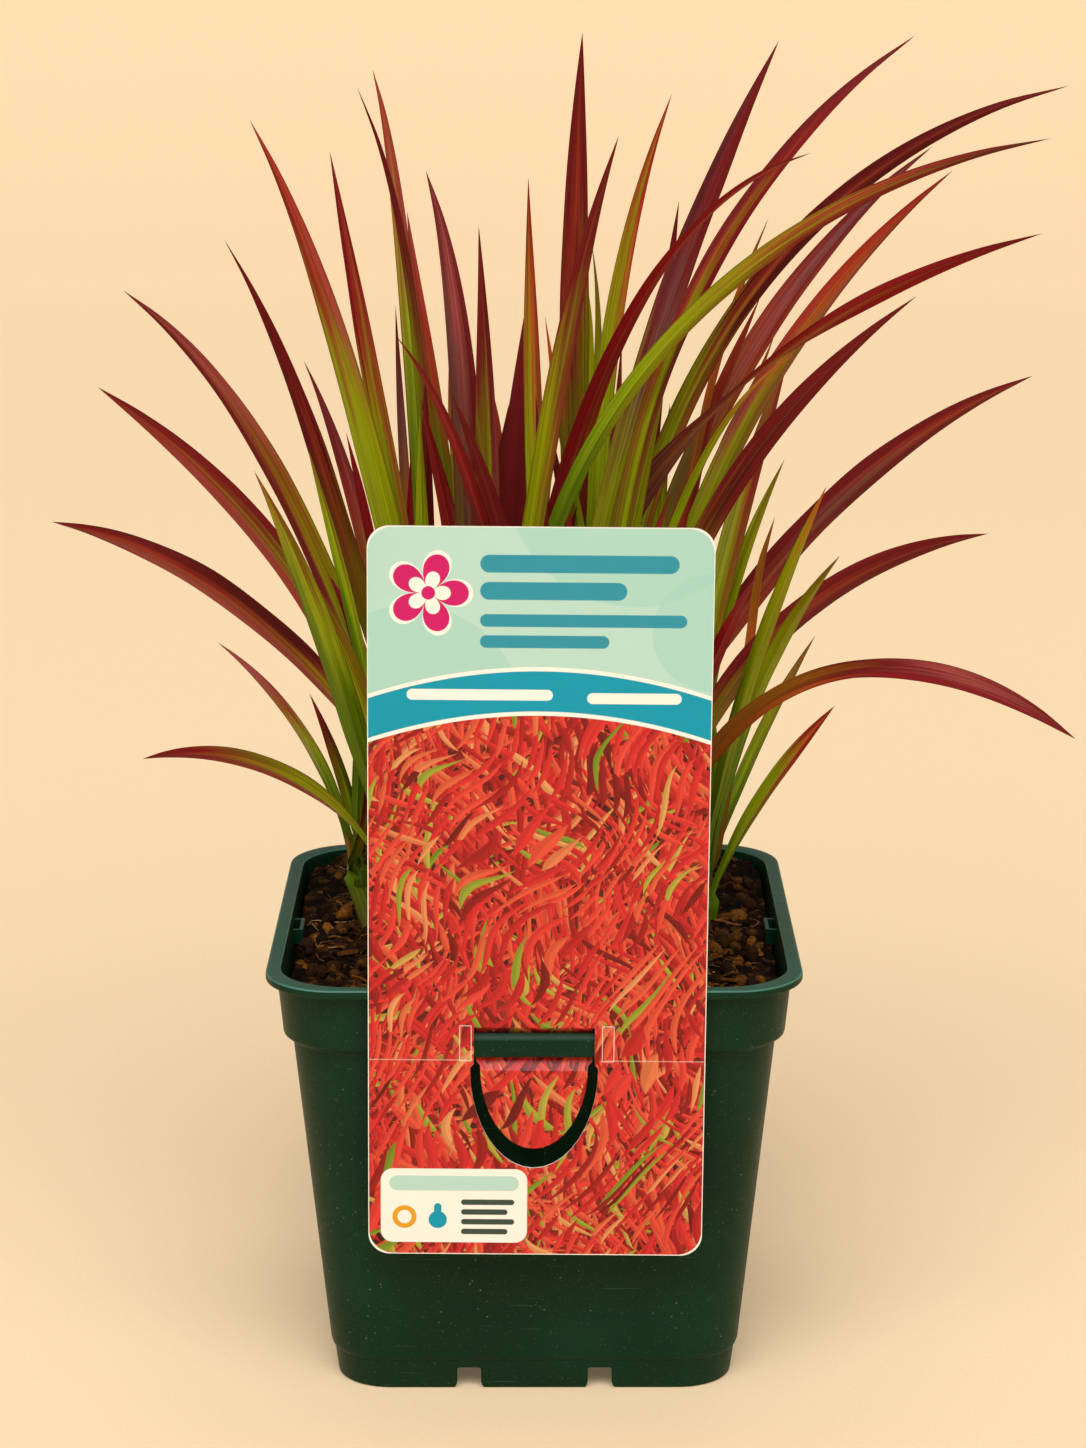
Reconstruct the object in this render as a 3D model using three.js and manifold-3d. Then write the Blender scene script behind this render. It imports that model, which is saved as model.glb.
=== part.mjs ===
// Japanese blood grass in its square nursery pot.
// Millimetres, +Z up, the front is -Y. The origin is the middle of the pot's footprint.
import {
  BoxGeometry, BufferAttribute, BufferGeometry, CylinderGeometry, ExtrudeGeometry, Group,
  LatheGeometry, MathUtils, Matrix4, Mesh, MeshStandardMaterial, Path, Shape, Vector2, Vector3,
} from 'three';
import { mergeVertices } from 'three/addons/utils/BufferGeometryUtils.js';
import Module from 'manifold-3d';

const wasm = await Module();
wasm.setup();

// ---------------------------------------------------------------- driving dimensions
const GAP = 0.3; // clearance between pieces that touch
const PAST = 1; // how far a cutting shape runs past what it cuts

// pot: every width is half of the square's side at that height
const POT = {
  height: 108.5,
  cornerShare: 0.27, // corner radius as a share of the half side
  wall: 1.1,
  rim: { half: 65, thickness: 2.4, round: 0.7, edge: 0.5 },
  collar: { top: 62.3, bottom: 61.2, foot: 92.2, edge: 0.6, step: 1.6 },
  body: { top: 58.9, bottom: 50.9, start: 10, edge: 0.4 },
  foot: { half: 49, height: 8, floor: 6, draft: 0.2, ledge: 0.8 },
};
const FOOT_NOTCH = { width: 5.9, height: 5.7, offset: 16.2 };
const DRAIN = { radius: 4.5, pitch: 27, sides: 16 };
const LUG = { length: 10, reach: 2.4, height: 4, top: 105.5, wall: 0.9, root: 0.2 };

// the bar on the collar that the label hangs from
const BAR = { halfLength: 17.5, bottom: 91.8, top: 97.5, front: -65, back: -63, post: 2 };

const LABEL = {
  width: 80.4,
  top: 220.7,
  bottom: 42.1,
  thickness: 0.5,
  back: -65.4,
  cornerRadius: 5.2,
  shift: 0.6, // the sheet's middle lies this far right of the bar's
  tilt: 0.5, // degrees, its top leans to the right
};
// the tongue cut in the label, which passes behind the bar and hangs below it
const TONGUE = {
  halfNeck: 13.9,
  halfLobe: 12.9,
  slitTop: 99.6,
  shoulder: 90.4,
  tip: 68.7,
  cut: 0.5, // slit beside the neck
  lobeCut: 2.4, // open gap beside the lobe
  lobeCutEnd: 64.2,
  neckFront: -62.55,
  lobeFront: -64.6,
  lobeStart: 88.4, // where the sheet is back at the lobe's plane, below the bar
};

const SOIL = {
  edge: 101,
  crown: 103.4,
  rings: [1, 0.86, 0.68, 0.5, 0.32, 0.15, 0], // of the surface, as shares of the half side
  lumps: 0.7, // height of the small mounds
  lumpStretch: [0.31, 0.12, -0.09, 0.27], // radians per millimetre of their two waves
  lumpMargin: 12, // the mounds die out over this distance from the wall
};

// shoots: short sheathed stems; the leaves stand in a ring on each
const SHOOT = { rootZ: 94, soilZ: 102, topRadius: 2.9, rootRadius: 2.3, sides: 12 };
const LEAF_RING = 2.1; // radius of the ring of leaf bases
const LEAF_LIFT = 0.5; // of a leaf base above its shoot
const LEAF = {
  steps: 14,
  baseWidth: 1.6,
  baseThickness: 0.8,
  thickness: 0.55,
  fold: 0.09, // rise of the margins over the midrib, as a share of the width
  fullAt: 0.42, // share of the length where the blade is at full width
  taper: 0.38, // share of the length that narrows to the point
  taperPower: 1.8,
  thinBy: 0.2, // share of the length within which the base has thinned to the blade
  turnBy: 0.5, // share of the length within which the blade has turned to the light
  turnedAt: 0.6, // share of the length where its upper side faces the light squarely
};
// side that the light comes from: blades that arch right turn left to it, and the reverse
const LIGHT = { x: 0.45, y: -1, z: 0.7 };
const FORWARD = -0.35; // sine of the heading below which a blade counts as arching forward

// Each shoot: place on the soil, lean to +X and +Y in degrees, height above the soil, and the
// bearing of its first leaf base. Each leaf: compass heading of its arch (0 = +X, 90 = +Y),
// angle from upright at its base (lean) and tip (droop), how late the arch bends (bend),
// length and greatest width.
const SHOOTS = [
  {
    x: -41, y: 6, leanX: -16, leanY: 0, height: 17, firstLeaf: 350,
    leaves: [
      { heading: 30, lean: -4, droop: -25, bend: 0.6, length: 49, width: 3.5, tone: 'olive' },
      { heading: 135, lean: 3, droop: 72, bend: 0.6, length: 75, width: 3, tone: 'lime' },
      { heading: 135, lean: -32, droop: 42, bend: 1, length: 81, width: 4, tone: 'crimson' },
    ],
  },
  {
    x: -33, y: -16, leanX: -8, leanY: -4, height: 20, firstLeaf: 40,
    leaves: [
      { heading: 135, lean: 6, droop: 23, bend: 0.6, length: 110, width: 3, tone: 'olive' },
      { heading: 150, lean: 17, droop: 108, bend: 0.6, length: 83, width: 4.5, tone: 'olive' },
      { heading: 195, lean: -15, droop: 54, bend: 0.6, length: 150, width: 6.5, tone: 'maroon' },
      { heading: 255, lean: 33, droop: 50, bend: 1.5, length: 157, width: 5, tone: 'lime' },
    ],
  },
  {
    x: -25, y: 24, leanX: -6, leanY: 4, height: 20, firstLeaf: 355,
    leaves: [
      { heading: 105, lean: 11, droop: 56, bend: 4, length: 208, width: 4, tone: 'olive' },
      { heading: 105, lean: 26, droop: 9, bend: 1, length: 139, width: 2.5, tone: 'crimson' },
      { heading: 120, lean: 25, droop: 50, bend: 3, length: 135, width: 4.5, tone: 'crimson' },
      { heading: 150, lean: 31, droop: 87, bend: 1, length: 143, width: 7, tone: 'brick' },
      { heading: 180, lean: 19, droop: 54, bend: 3, length: 162, width: 6.5, tone: 'olive' },
      { heading: 210, lean: 16, droop: 32, bend: 4, length: 167, width: 5.5, tone: 'maroon' },
      { heading: 210, lean: 1, droop: 26, bend: 4, length: 195, width: 3, tone: 'maroon' },
    ],
  },
  {
    x: -14, y: -6, leanX: -4, leanY: 0, height: 20, firstLeaf: 45,
    leaves: [
      { heading: 60, lean: 13, droop: 7, bend: 0.8, length: 140, width: 6, tone: 'maroon' },
      { heading: 120, lean: 0, droop: 36, bend: 4, length: 176, width: 6, tone: 'rose' },
      { heading: 135, lean: 17, droop: 14, bend: 0.6, length: 182, width: 5, tone: 'crimson' },
      { heading: 240, lean: 21, droop: 42, bend: 4, length: 214, width: 6.5, tone: 'olive' },
      { heading: 300, lean: 13, droop: -6, bend: 0.6, length: 162, width: 4, tone: 'crimson' },
      { heading: 300, lean: 16, droop: 32, bend: 4, length: 199, width: 4, tone: 'olive' },
    ],
  },
  {
    x: -5, y: 30, leanX: 0, leanY: 3, height: 20, firstLeaf: 35,
    leaves: [
      { heading: 45, lean: 17, droop: -12, bend: 3, length: 153, width: 3, tone: 'olive' },
      { heading: 60, lean: 23, droop: -15, bend: 4, length: 145, width: 3, tone: 'lime' },
      { heading: 135, lean: 20, droop: 9, bend: 0.6, length: 162, width: 5, tone: 'olive' },
      { heading: 240, lean: 16, droop: 23, bend: 1, length: 126, width: 4.5, tone: 'brick' },
      { heading: 300, lean: 8, droop: 77, bend: 1.5, length: 243, width: 7, tone: 'crimson' },
      { heading: 315, lean: -6, droop: 74, bend: 0.6, length: 249, width: 5.5, tone: 'crimson' },
    ],
  },
  {
    x: 7, y: -14, leanX: 2, leanY: -4, height: 20, firstLeaf: 300,
    leaves: [
      { heading: 0, lean: -30, droop: 81, bend: 0.8, length: 249, width: 5, tone: 'olive' },
      { heading: 30, lean: 17, droop: 68, bend: 4, length: 146, width: 2.5, tone: 'olive' },
      { heading: 45, lean: -7, droop: 37, bend: 0.6, length: 220, width: 5.5, tone: 'rose' },
      { heading: 120, lean: 11, droop: 1, bend: 0.6, length: 173, width: 5, tone: 'brick' },
      { heading: 240, lean: 19, droop: 52, bend: 3, length: 165, width: 4.5, tone: 'crimson' },
    ],
  },
  {
    x: 18, y: 22, leanX: 4, leanY: 3, height: 20, firstLeaf: 345,
    leaves: [
      { heading: 0, lean: 9, droop: 51, bend: 1.5, length: 195, width: 5.5, tone: 'orange' },
      { heading: 15, lean: 26, droop: 72, bend: 1.5, length: 166, width: 7.5, tone: 'brick' },
      { heading: 45, lean: -1, droop: 67, bend: 0.8, length: 223, width: 5.5, tone: 'maroon' },
      { heading: 120, lean: 18, droop: -6, bend: 0.6, length: 206, width: 7, tone: 'maroon' },
      { heading: 345, lean: -3, droop: 21, bend: 2, length: 193, width: 4.5, tone: 'orange' },
      { heading: 345, lean: -1, droop: 77, bend: 1.5, length: 244, width: 6, tone: 'rose' },
    ],
  },
  {
    x: 31, y: -10, leanX: 6, leanY: -3, height: 18, firstLeaf: 25,
    leaves: [
      { heading: 15, lean: -8, droop: 86, bend: 0.8, length: 130, width: 5.5, tone: 'maroon' },
      { heading: 60, lean: 9, droop: 39, bend: 0.6, length: 142, width: 5.5, tone: 'olive' },
      { heading: 30, lean: -23, droop: 62, bend: 1, length: 240, width: 4.5, tone: 'crimson' },
      { heading: 285, lean: 14, droop: 54, bend: 0.6, length: 121, width: 3.5, tone: 'crimson' },
      { heading: 315, lean: 4, droop: 113, bend: 0.8, length: 159, width: 7.5, tone: 'maroon' },
      { heading: 345, lean: -32, droop: 53, bend: 0.6, length: 171, width: 4.5, tone: 'maroon' },
    ],
  },
  {
    x: 43, y: 12, leanX: 8, leanY: 0, height: 7, firstLeaf: 60,
    leaves: [
      { heading: 45, lean: -27, droop: 38, bend: 0.6, length: 118, width: 3.5, tone: 'olive' },
      { heading: 60, lean: 35, droop: 62, bend: 0.8, length: 87, width: 3.5, tone: 'lime' },
      { heading: 285, lean: 19, droop: 48, bend: 0.6, length: 156, width: 4, tone: 'lime' },
      { heading: 300, lean: 6, droop: 49, bend: 0.8, length: 117, width: 4, tone: 'lime' },
      { heading: 345, lean: 13, droop: 41, bend: 0.6, length: 61, width: 4, tone: 'orange' },
    ],
  },
];

const TONES = {
  lime: '#9a9f10',
  olive: '#7d7a18',
  orange: '#c0562a',
  brick: '#8f3a30',
  crimson: '#7a0f14',
  rose: '#9a4a4a',
  maroon: '#5a100e',
};

// ---------------------------------------------------------------- solids and booleans
/** A closed geometry as a solid that can be joined and cut. */
function solid(geometry) {
  const bare = new BufferGeometry();
  bare.setAttribute('position', geometry.getAttribute('position'));
  bare.setIndex(geometry.getIndex());
  const merged = mergeVertices(bare, 1e-3);
  const index = merged.getIndex();
  const corners = [];
  for (let i = 0; i < index.count; i += 3) {
    const [a, b, c] = [index.getX(i), index.getX(i + 1), index.getX(i + 2)];
    if (a !== b && b !== c && c !== a) corners.push(a, b, c);
  }
  return new wasm.Manifold(new wasm.Mesh({
    numProp: 3,
    vertProperties: merged.getAttribute('position').array,
    triVerts: Uint32Array.from(corners),
  }));
}

/** The geometry of a solid. */
function geometryOf(manifold) {
  const { vertProperties, triVerts } = manifold.getMesh();
  const geometry = new BufferGeometry();
  geometry.setAttribute('position', new BufferAttribute(vertProperties, 3));
  geometry.setIndex(new BufferAttribute(triVerts, 1));
  geometry.computeVertexNormals();
  return geometry;
}

function material(color, roughness) {
  return new MeshStandardMaterial({ color, roughness, metalness: 0 });
}

function piece(name, geometry, finish) {
  const mesh = new Mesh(geometry, finish);
  mesh.name = name;
  return mesh;
}

/** A box between two opposite corners. */
function box(from, to) {
  const size = new Vector3().subVectors(to, from);
  const geometry = new BoxGeometry(size.x, size.y, size.z);
  geometry.translate(from.x + size.x / 2, from.y + size.y / 2, from.z + size.z / 2);
  return solid(geometry);
}

// ---------------------------------------------------------------- square turned shapes
const SIDE_STEPS = 6; // points of one rounded corner; the straight side joins it to the next

/** Point number `step` of a rounded square, counter-clockwise from its front right corner. */
function squarePoint(step, half) {
  const quadrant = Math.floor(step / SIDE_STEPS);
  const share = (step % SIDE_STEPS) / (SIDE_STEPS - 1);
  const angle = (quadrant - 1 + share) * Math.PI / 2;
  const middle = (quadrant - 0.5) * Math.PI / 2;
  const radius = half * POT.cornerShare;
  const centre = (half - radius) * Math.SQRT2;
  return new Vector2(
    centre * Math.cos(middle) + radius * Math.cos(angle),
    centre * Math.sin(middle) + radius * Math.sin(angle),
  );
}

/** A profile of [half side, z] turned about the z axis, with every ring squared. */
function squareTurned(profile, lift = () => 0) {
  const points = profile.map(([half, z]) => new Vector2(half, z));
  const geometry = new LatheGeometry(points, 4 * SIDE_STEPS);
  const position = geometry.getAttribute('position');
  for (let i = 0; i < position.count; i += 1) {
    const { x: half, y: z } = points[i % points.length];
    const corner = squarePoint(Math.floor(i / points.length) % (4 * SIDE_STEPS), half);
    position.setXYZ(i, corner.x, corner.y, z + lift(corner, half, z));
  }
  return solid(geometry);
}

// ---------------------------------------------------------------- pot
/** Half side of the pot's outer wall at a height. */
function collarHalf(z) {
  const { top, bottom, foot } = POT.collar;
  const rimBottom = POT.height - POT.rim.thickness;
  return MathUtils.mapLinear(z, foot, rimBottom, bottom, top);
}

function bodyHalf(z) {
  const { top, bottom, start } = POT.body;
  return MathUtils.mapLinear(z, start, POT.collar.foot, bottom, top);
}

function potOutside() {
  const { height, rim, collar, body, foot } = POT;
  const rimBottom = height - rim.thickness;
  return squareTurned([
    [0, 0],
    [foot.half, 0],
    [foot.half + foot.draft, foot.height],
    [body.bottom - body.edge, foot.height + foot.ledge],
    [body.bottom, body.start],
    [bodyHalf(collar.foot - collar.step), collar.foot - collar.step],
    [collar.bottom - collar.edge, collar.foot - collar.edge],
    [collar.bottom, collar.foot],
    [collar.top, rimBottom - collar.edge],
    [rim.half - rim.edge, rimBottom],
    [rim.half, rimBottom + rim.edge],
    [rim.half, height - rim.round],
    [rim.half - rim.round, height],
    [0, height],
  ]);
}

/** Inner wall as [half side, z], with the step under the collar; `inset` draws it inwards. */
function insideProfile(inset) {
  const { height, wall, collar, body, foot } = POT;
  const shrink = wall + inset;
  const stepZ = collar.foot - collar.step - collar.edge;
  const topZ = height - PAST;
  return [
    [foot.half - shrink, foot.floor + shrink],
    [body.bottom - shrink, body.start + shrink],
    [bodyHalf(stepZ) - shrink, stepZ],
    [collar.bottom - shrink, collar.foot],
    [collarHalf(topZ) - shrink, topZ],
  ];
}

/** The pot's inside, with a slightly flared mouth. */
function potInside() {
  const walls = insideProfile(0);
  const [mouthHalf, mouthZ] = walls.at(-1);
  const above = mouthZ + 2 * PAST;
  const flare = mouthHalf + POT.rim.edge;
  return squareTurned([[0, walls[0][1]], ...walls, [flare, above], [0, above]]);
}

function underFloorHollow() {
  const half = POT.foot.half - POT.wall;
  return squareTurned([[0, -PAST], [half, -PAST], [half, POT.foot.floor], [0, POT.foot.floor]]);
}

/** Two notches in each side of the foot, through the wall. */
function footNotches() {
  const { width, height, offset } = FOOT_NOTCH;
  const reach = POT.foot.half + PAST;
  const cuts = [];
  for (const shift of [-offset, offset]) {
    const [low, high] = [shift - width / 2, shift + width / 2];
    cuts.push(box(new Vector3(low, -reach, -PAST), new Vector3(high, reach, height)));
    cuts.push(box(new Vector3(-reach, low, -PAST), new Vector3(reach, high, height)));
  }
  return cuts;
}

/** Round drain holes in a three by three pattern. */
function drainHoles() {
  const holes = [];
  for (const column of [-1, 0, 1]) {
    for (const row of [-1, 0, 1]) {
      const length = 2 * (POT.wall + PAST);
      const geometry = new CylinderGeometry(DRAIN.radius, DRAIN.radius, length, DRAIN.sides);
      geometry.rotateX(Math.PI / 2);
      geometry.translate(column * DRAIN.pitch, row * DRAIN.pitch, POT.foot.floor);
      holes.push(solid(geometry));
    }
  }
  return holes;
}

/** A loop on each inner side wall: a small box, open from top to bottom. */
function lugs() {
  const { length, reach, height, top, wall, root } = LUG;
  const inner = collarHalf(top - height) - POT.wall;
  const made = [];
  for (const side of [-1, 1]) {
    const span = (near, far) => [side * near, side * far].sort((a, b) => a - b);
    const [outerLow, outerHigh] = span(inner - reach, inner + POT.wall / 2);
    const [holeLow, holeHigh] = span(inner - reach + wall, inner - root);
    const block = box(
      new Vector3(outerLow, -length / 2, top - height),
      new Vector3(outerHigh, length / 2, top),
    );
    const hole = box(
      new Vector3(holeLow, wall - length / 2, top - height - PAST),
      new Vector3(holeHigh, length / 2 - wall, top + PAST),
    );
    made.push(block.subtract(hole));
  }
  return made;
}

/** The bar in front of the collar and its two posts. */
function labelBar() {
  const { halfLength, bottom, top, front, back, post } = BAR;
  const inWall = POT.wall / 2 - collarHalf(bottom);
  const inBar = (front + back) / 2;
  const posts = [-halfLength, halfLength - post].map((x) => box(
    new Vector3(x, inBar, bottom),
    new Vector3(x + post, inWall, top),
  ));
  const bar = box(new Vector3(-halfLength, front, bottom), new Vector3(halfLength, back, top));
  return [bar, ...posts];
}

function pot() {
  let shell = potOutside().subtract(potInside()).subtract(underFloorHollow());
  for (const cut of [...footNotches(), ...drainHoles()]) shell = shell.subtract(cut);
  for (const added of [...lugs(), ...labelBar()]) shell = shell.add(added);
  return piece('pot', geometryOf(shell), material('#1a3b2d', 0.45));
}

// ---------------------------------------------------------------- label
/** Outline of the tongue, or of the window round it, hanging from `top`. */
function tongueOutline(Outline, halfNeck, halfLobe, top, tip) {
  const shoulder = TONGUE.shoulder;
  const outline = new Outline();
  outline.moveTo(halfNeck, top);
  outline.lineTo(-halfNeck, top);
  outline.lineTo(-halfNeck, shoulder);
  outline.lineTo(-halfLobe, shoulder - 1);
  outline.absellipse(0, shoulder - 1, halfLobe, shoulder - 1 - tip, Math.PI, 2 * Math.PI, false);
  outline.lineTo(halfNeck, shoulder);
  outline.closePath();
  return outline;
}

/** An outline drawn in X and Z, made into a sheet whose back is at `back`. */
function sheet(shape, thickness, back) {
  const geometry = new ExtrudeGeometry(shape, {
    depth: thickness,
    bevelEnabled: false,
    curveSegments: 10,
  });
  geometry.rotateX(Math.PI / 2);
  geometry.translate(0, back, 0);
  return solid(geometry);
}

function labelSheet() {
  const { width, top, bottom, thickness, back, cornerRadius: r, shift } = LABEL;
  const [left, right] = [shift - width / 2, shift + width / 2];
  const outline = new Shape();
  outline.moveTo(left + r, bottom);
  outline.absarc(right - r, bottom + r, r, -Math.PI / 2, 0, false);
  outline.absarc(right - r, top - r, r, 0, Math.PI / 2, false);
  outline.absarc(left + r, top - r, r, Math.PI / 2, Math.PI, false);
  outline.absarc(left + r, bottom + r, r, Math.PI, 1.5 * Math.PI, false);
  const { halfNeck, halfLobe, cut, lobeCut, slitTop, lobeCutEnd } = TONGUE;
  const window = tongueOutline(Path, halfNeck + cut, halfLobe + lobeCut, slitTop, lobeCutEnd);
  outline.holes.push(window);
  return sheet(outline, thickness, back);
}

/** Side view of the tongue: from the sheet back behind the bar, then forward and down. */
function tongueFold() {
  const { slitTop, neckFront, lobeFront, lobeStart, tip } = TONGUE;
  const sheetFront = LABEL.back - LABEL.thickness;
  const front = [
    [sheetFront, slitTop + PAST],
    [sheetFront, slitTop],
    [neckFront, BAR.top + GAP],
    [neckFront, BAR.bottom - GAP],
    [lobeFront, lobeStart],
    [lobeFront, tip - PAST],
  ];
  const back = front.map(([y, z]) => [y + LABEL.thickness, z]).reverse();
  const profile = new Shape([...front, ...back].map(([y, z]) => new Vector2(y, z)));
  const reach = 2 * BAR.halfLength;
  const geometry = new ExtrudeGeometry(profile, { depth: reach, bevelEnabled: false });
  geometry.translate(0, 0, -reach / 2);
  geometry.rotateX(Math.PI / 2);
  geometry.rotateZ(Math.PI / 2);
  return solid(geometry);
}

/** The sheet and its folded tongue, turned a little about the bar. */
function label() {
  const { halfNeck, halfLobe, slitTop, tip, neckFront } = TONGUE;
  const rootInSheet = slitTop + LABEL.thickness;
  const outline = tongueOutline(Shape, halfNeck, halfLobe, rootInSheet, tip);
  const depth = 2 * (neckFront - LABEL.back);
  const front = sheet(outline, 2 * depth, LABEL.back + depth);
  const tongue = tongueFold().intersect(front);
  const geometry = geometryOf(labelSheet().add(tongue));
  const pivot = new Group();
  geometry.translate(0, 0, -BAR.bottom);
  pivot.position.z = BAR.bottom;
  pivot.rotation.y = MathUtils.degToRad(LABEL.tilt);
  pivot.add(piece('label', geometry, material('#e9ead2', 0.35)));
  return pivot;
}

// ---------------------------------------------------------------- shoots and soil
/** Middle of a shoot at a height. */
function shootMiddle({ x, y, leanX, leanY }, z) {
  const rise = z - SHOOT.soilZ;
  return new Vector3(
    x + rise * Math.tan(MathUtils.degToRad(leanX)),
    y + rise * Math.tan(MathUtils.degToRad(leanY)),
    z,
  );
}

/** A leaning stub with level ends, `spare` larger all round. */
function shootStub(shoot, spare) {
  const bottom = SHOOT.rootZ - spare;
  const top = SHOOT.soilZ + shoot.height;
  const geometry = new CylinderGeometry(
    SHOOT.topRadius + spare,
    SHOOT.rootRadius + spare,
    top - bottom,
    SHOOT.sides,
  );
  geometry.rotateX(Math.PI / 2);
  geometry.translate(0, 0, (top + bottom) / 2 - SHOOT.soilZ);
  const [alongX, alongY] = [shoot.leanX, shoot.leanY].map((a) => Math.tan(MathUtils.degToRad(a)));
  geometry.applyMatrix4(new Matrix4().makeShear(0, 0, 0, 0, alongX, alongY));
  geometry.translate(shoot.x, shoot.y, SHOOT.soilZ);
  return geometry;
}

/** Small mounds of the soil's surface, which die out at the pot's wall. */
function soilLump({ x, y }, half, z) {
  if (z < SOIL.edge) return 0;
  const [a, b, c, d] = SOIL.lumpStretch;
  const waves = Math.sin(a * x + b * y) * Math.cos(c * x + d * y);
  const inward = MathUtils.clamp((POT.collar.bottom - half) / SOIL.lumpMargin, 0, 1);
  return SOIL.lumps * waves * inward;
}

function soil() {
  const { edge, crown } = SOIL;
  const edgeHalf = collarHalf(edge) - POT.wall - GAP;
  const walls = insideProfile(GAP).slice(0, -1);
  const surface = SOIL.rings.map((share) => [
    edgeHalf * share,
    MathUtils.lerp(crown, edge, share ** 2),
  ]);
  let body = squareTurned([[0, walls[0][1]], ...walls, ...surface], soilLump);
  for (const shoot of SHOOTS) body = body.subtract(solid(shootStub(shoot, GAP)));
  return piece('soil', geometryOf(body), material('#3a2a1c', 0.95));
}

// ---------------------------------------------------------------- leaves
/** 0 to 1 with level ends. */
function ease(share) {
  return MathUtils.smoothstep(share, 0, 1);
}

/** Angle from upright at a share of the leaf's length, in radians. */
function leafTilt({ lean, droop, bend }, share) {
  return MathUtils.degToRad(MathUtils.lerp(lean, droop, share ** bend));
}

/** Direction of the midrib where its angle from upright is `tilt`. */
function leafDirection(heading, tilt) {
  return new Vector3(
    Math.sin(tilt) * Math.cos(heading),
    Math.sin(tilt) * Math.sin(heading),
    Math.cos(tilt),
  );
}

/** Width across the blade: narrow at the base, full by the middle, drawn out to a point. */
function leafWidth({ width }, share) {
  const grown = MathUtils.lerp(LEAF.baseWidth, width, ease(share / LEAF.fullAt));
  const left = Math.min((1 - share) / LEAF.taper, 1);
  return grown * (1 - (1 - left) ** LEAF.taperPower);
}

/** How far the blade turns on its midrib to bring its upper side to the light. */
function turnToLight(leaf, heading, across) {
  const along = leafDirection(heading, leafTilt(leaf, LEAF.turnedAt));
  const face = new Vector3().crossVectors(along, across);
  const archesLeft = Math.cos(heading) < 0;
  const comesForward = Math.sin(heading) < FORWARD;
  const light = new Vector3(
    archesLeft ? LIGHT.x : -LIGHT.x,
    comesForward ? -LIGHT.y : LIGHT.y,
    LIGHT.z,
  );
  return Math.atan2(light.dot(across), light.dot(face));
}

/** The four corners of a blade's section: left margin, underside, right margin, upper side. */
function leafSection(leaf, share, middle, across, face) {
  const width = leafWidth(leaf, share);
  const thinned = ease(share / LEAF.thinBy);
  const thickness = MathUtils.lerp(LEAF.baseThickness, LEAF.thickness, thinned);
  const point = (side, up) => middle.clone()
    .addScaledVector(across, side)
    .addScaledVector(face, up);
  return [
    point(-width / 2, LEAF.fold * width),
    point(0, -thickness / 2),
    point(width / 2, LEAF.fold * width),
    point(0, thickness / 2),
  ];
}

/**
 * Triangles between the four-cornered sections and the tip. On both sides of the thin blade
 * each quad is split from margin to midrib, so that the two sides can't cross where it twists.
 */
function leafFaces() {
  const tip = 4 * LEAF.steps;
  const faces = [0, 3, 1, 2, 1, 3];
  for (let i = 0; i < LEAF.steps; i += 1) {
    for (let corner = 0; corner < 4; corner += 1) {
      const a = 4 * i + corner;
      const b = 4 * i + (corner + 1) % 4;
      const fromMargin = corner % 2 === 0;
      if (i === LEAF.steps - 1) faces.push(a, b, tip);
      else if (fromMargin) faces.push(a, b, b + 4, a, b + 4, a + 4);
      else faces.push(a, b, a + 4, b, b + 4, a + 4);
    }
  }
  return faces;
}

/** A folded blade that arches from `root` to a single tip. */
function leafGeometry(leaf, root) {
  const heading = MathUtils.degToRad(leaf.heading);
  const level = new Vector3(-Math.sin(heading), Math.cos(heading), 0);
  const turn = turnToLight(leaf, heading, level);
  const middle = root.clone();
  const points = [];
  for (let i = 0; i < LEAF.steps; i += 1) {
    const share = i / LEAF.steps;
    const along = leafDirection(heading, leafTilt(leaf, share));
    const angle = turn * ease(share / LEAF.turnBy);
    const across = level.clone().applyAxisAngle(along, angle);
    const face = new Vector3().crossVectors(along, across);
    points.push(...leafSection(leaf, share, middle, across, face));
    const stepTilt = leafTilt(leaf, share + 0.5 / LEAF.steps);
    middle.addScaledVector(leafDirection(heading, stepTilt), leaf.length / LEAF.steps);
  }
  points.push(middle);
  const geometry = new BufferGeometry().setFromPoints(points);
  geometry.setIndex(leafFaces());
  geometry.computeVertexNormals();
  return geometry;
}

/** Where a leaf's base stands: on a ring just above its shoot. */
function leafRoot(shoot, order) {
  const bearing = MathUtils.degToRad(shoot.firstLeaf + 360 * order / shoot.leaves.length);
  const root = shootMiddle(shoot, SHOOT.soilZ + shoot.height);
  root.x += LEAF_RING * Math.cos(bearing);
  root.y += LEAF_RING * Math.sin(bearing);
  root.z += LEAF_LIFT;
  return root;
}

// ---------------------------------------------------------------- the whole plant
function tuft(shoot, number) {
  const group = new Group();
  group.add(piece(`shoot_${number}`, shootStub(shoot, 0), material('#7c8a2a', 0.6)));
  shoot.leaves.forEach((leaf, order) => {
    const geometry = leafGeometry(leaf, leafRoot(shoot, order));
    group.add(piece(`leaf_${number}_${order + 1}`, geometry, material(TONES[leaf.tone], 0.5)));
  });
  return group;
}

const bloodGrass = new Group();
bloodGrass.add(pot(), soil(), label());
SHOOTS.forEach((shoot, i) => bloodGrass.add(tuft(shoot, i + 1)));

export default bloodGrass;
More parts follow.
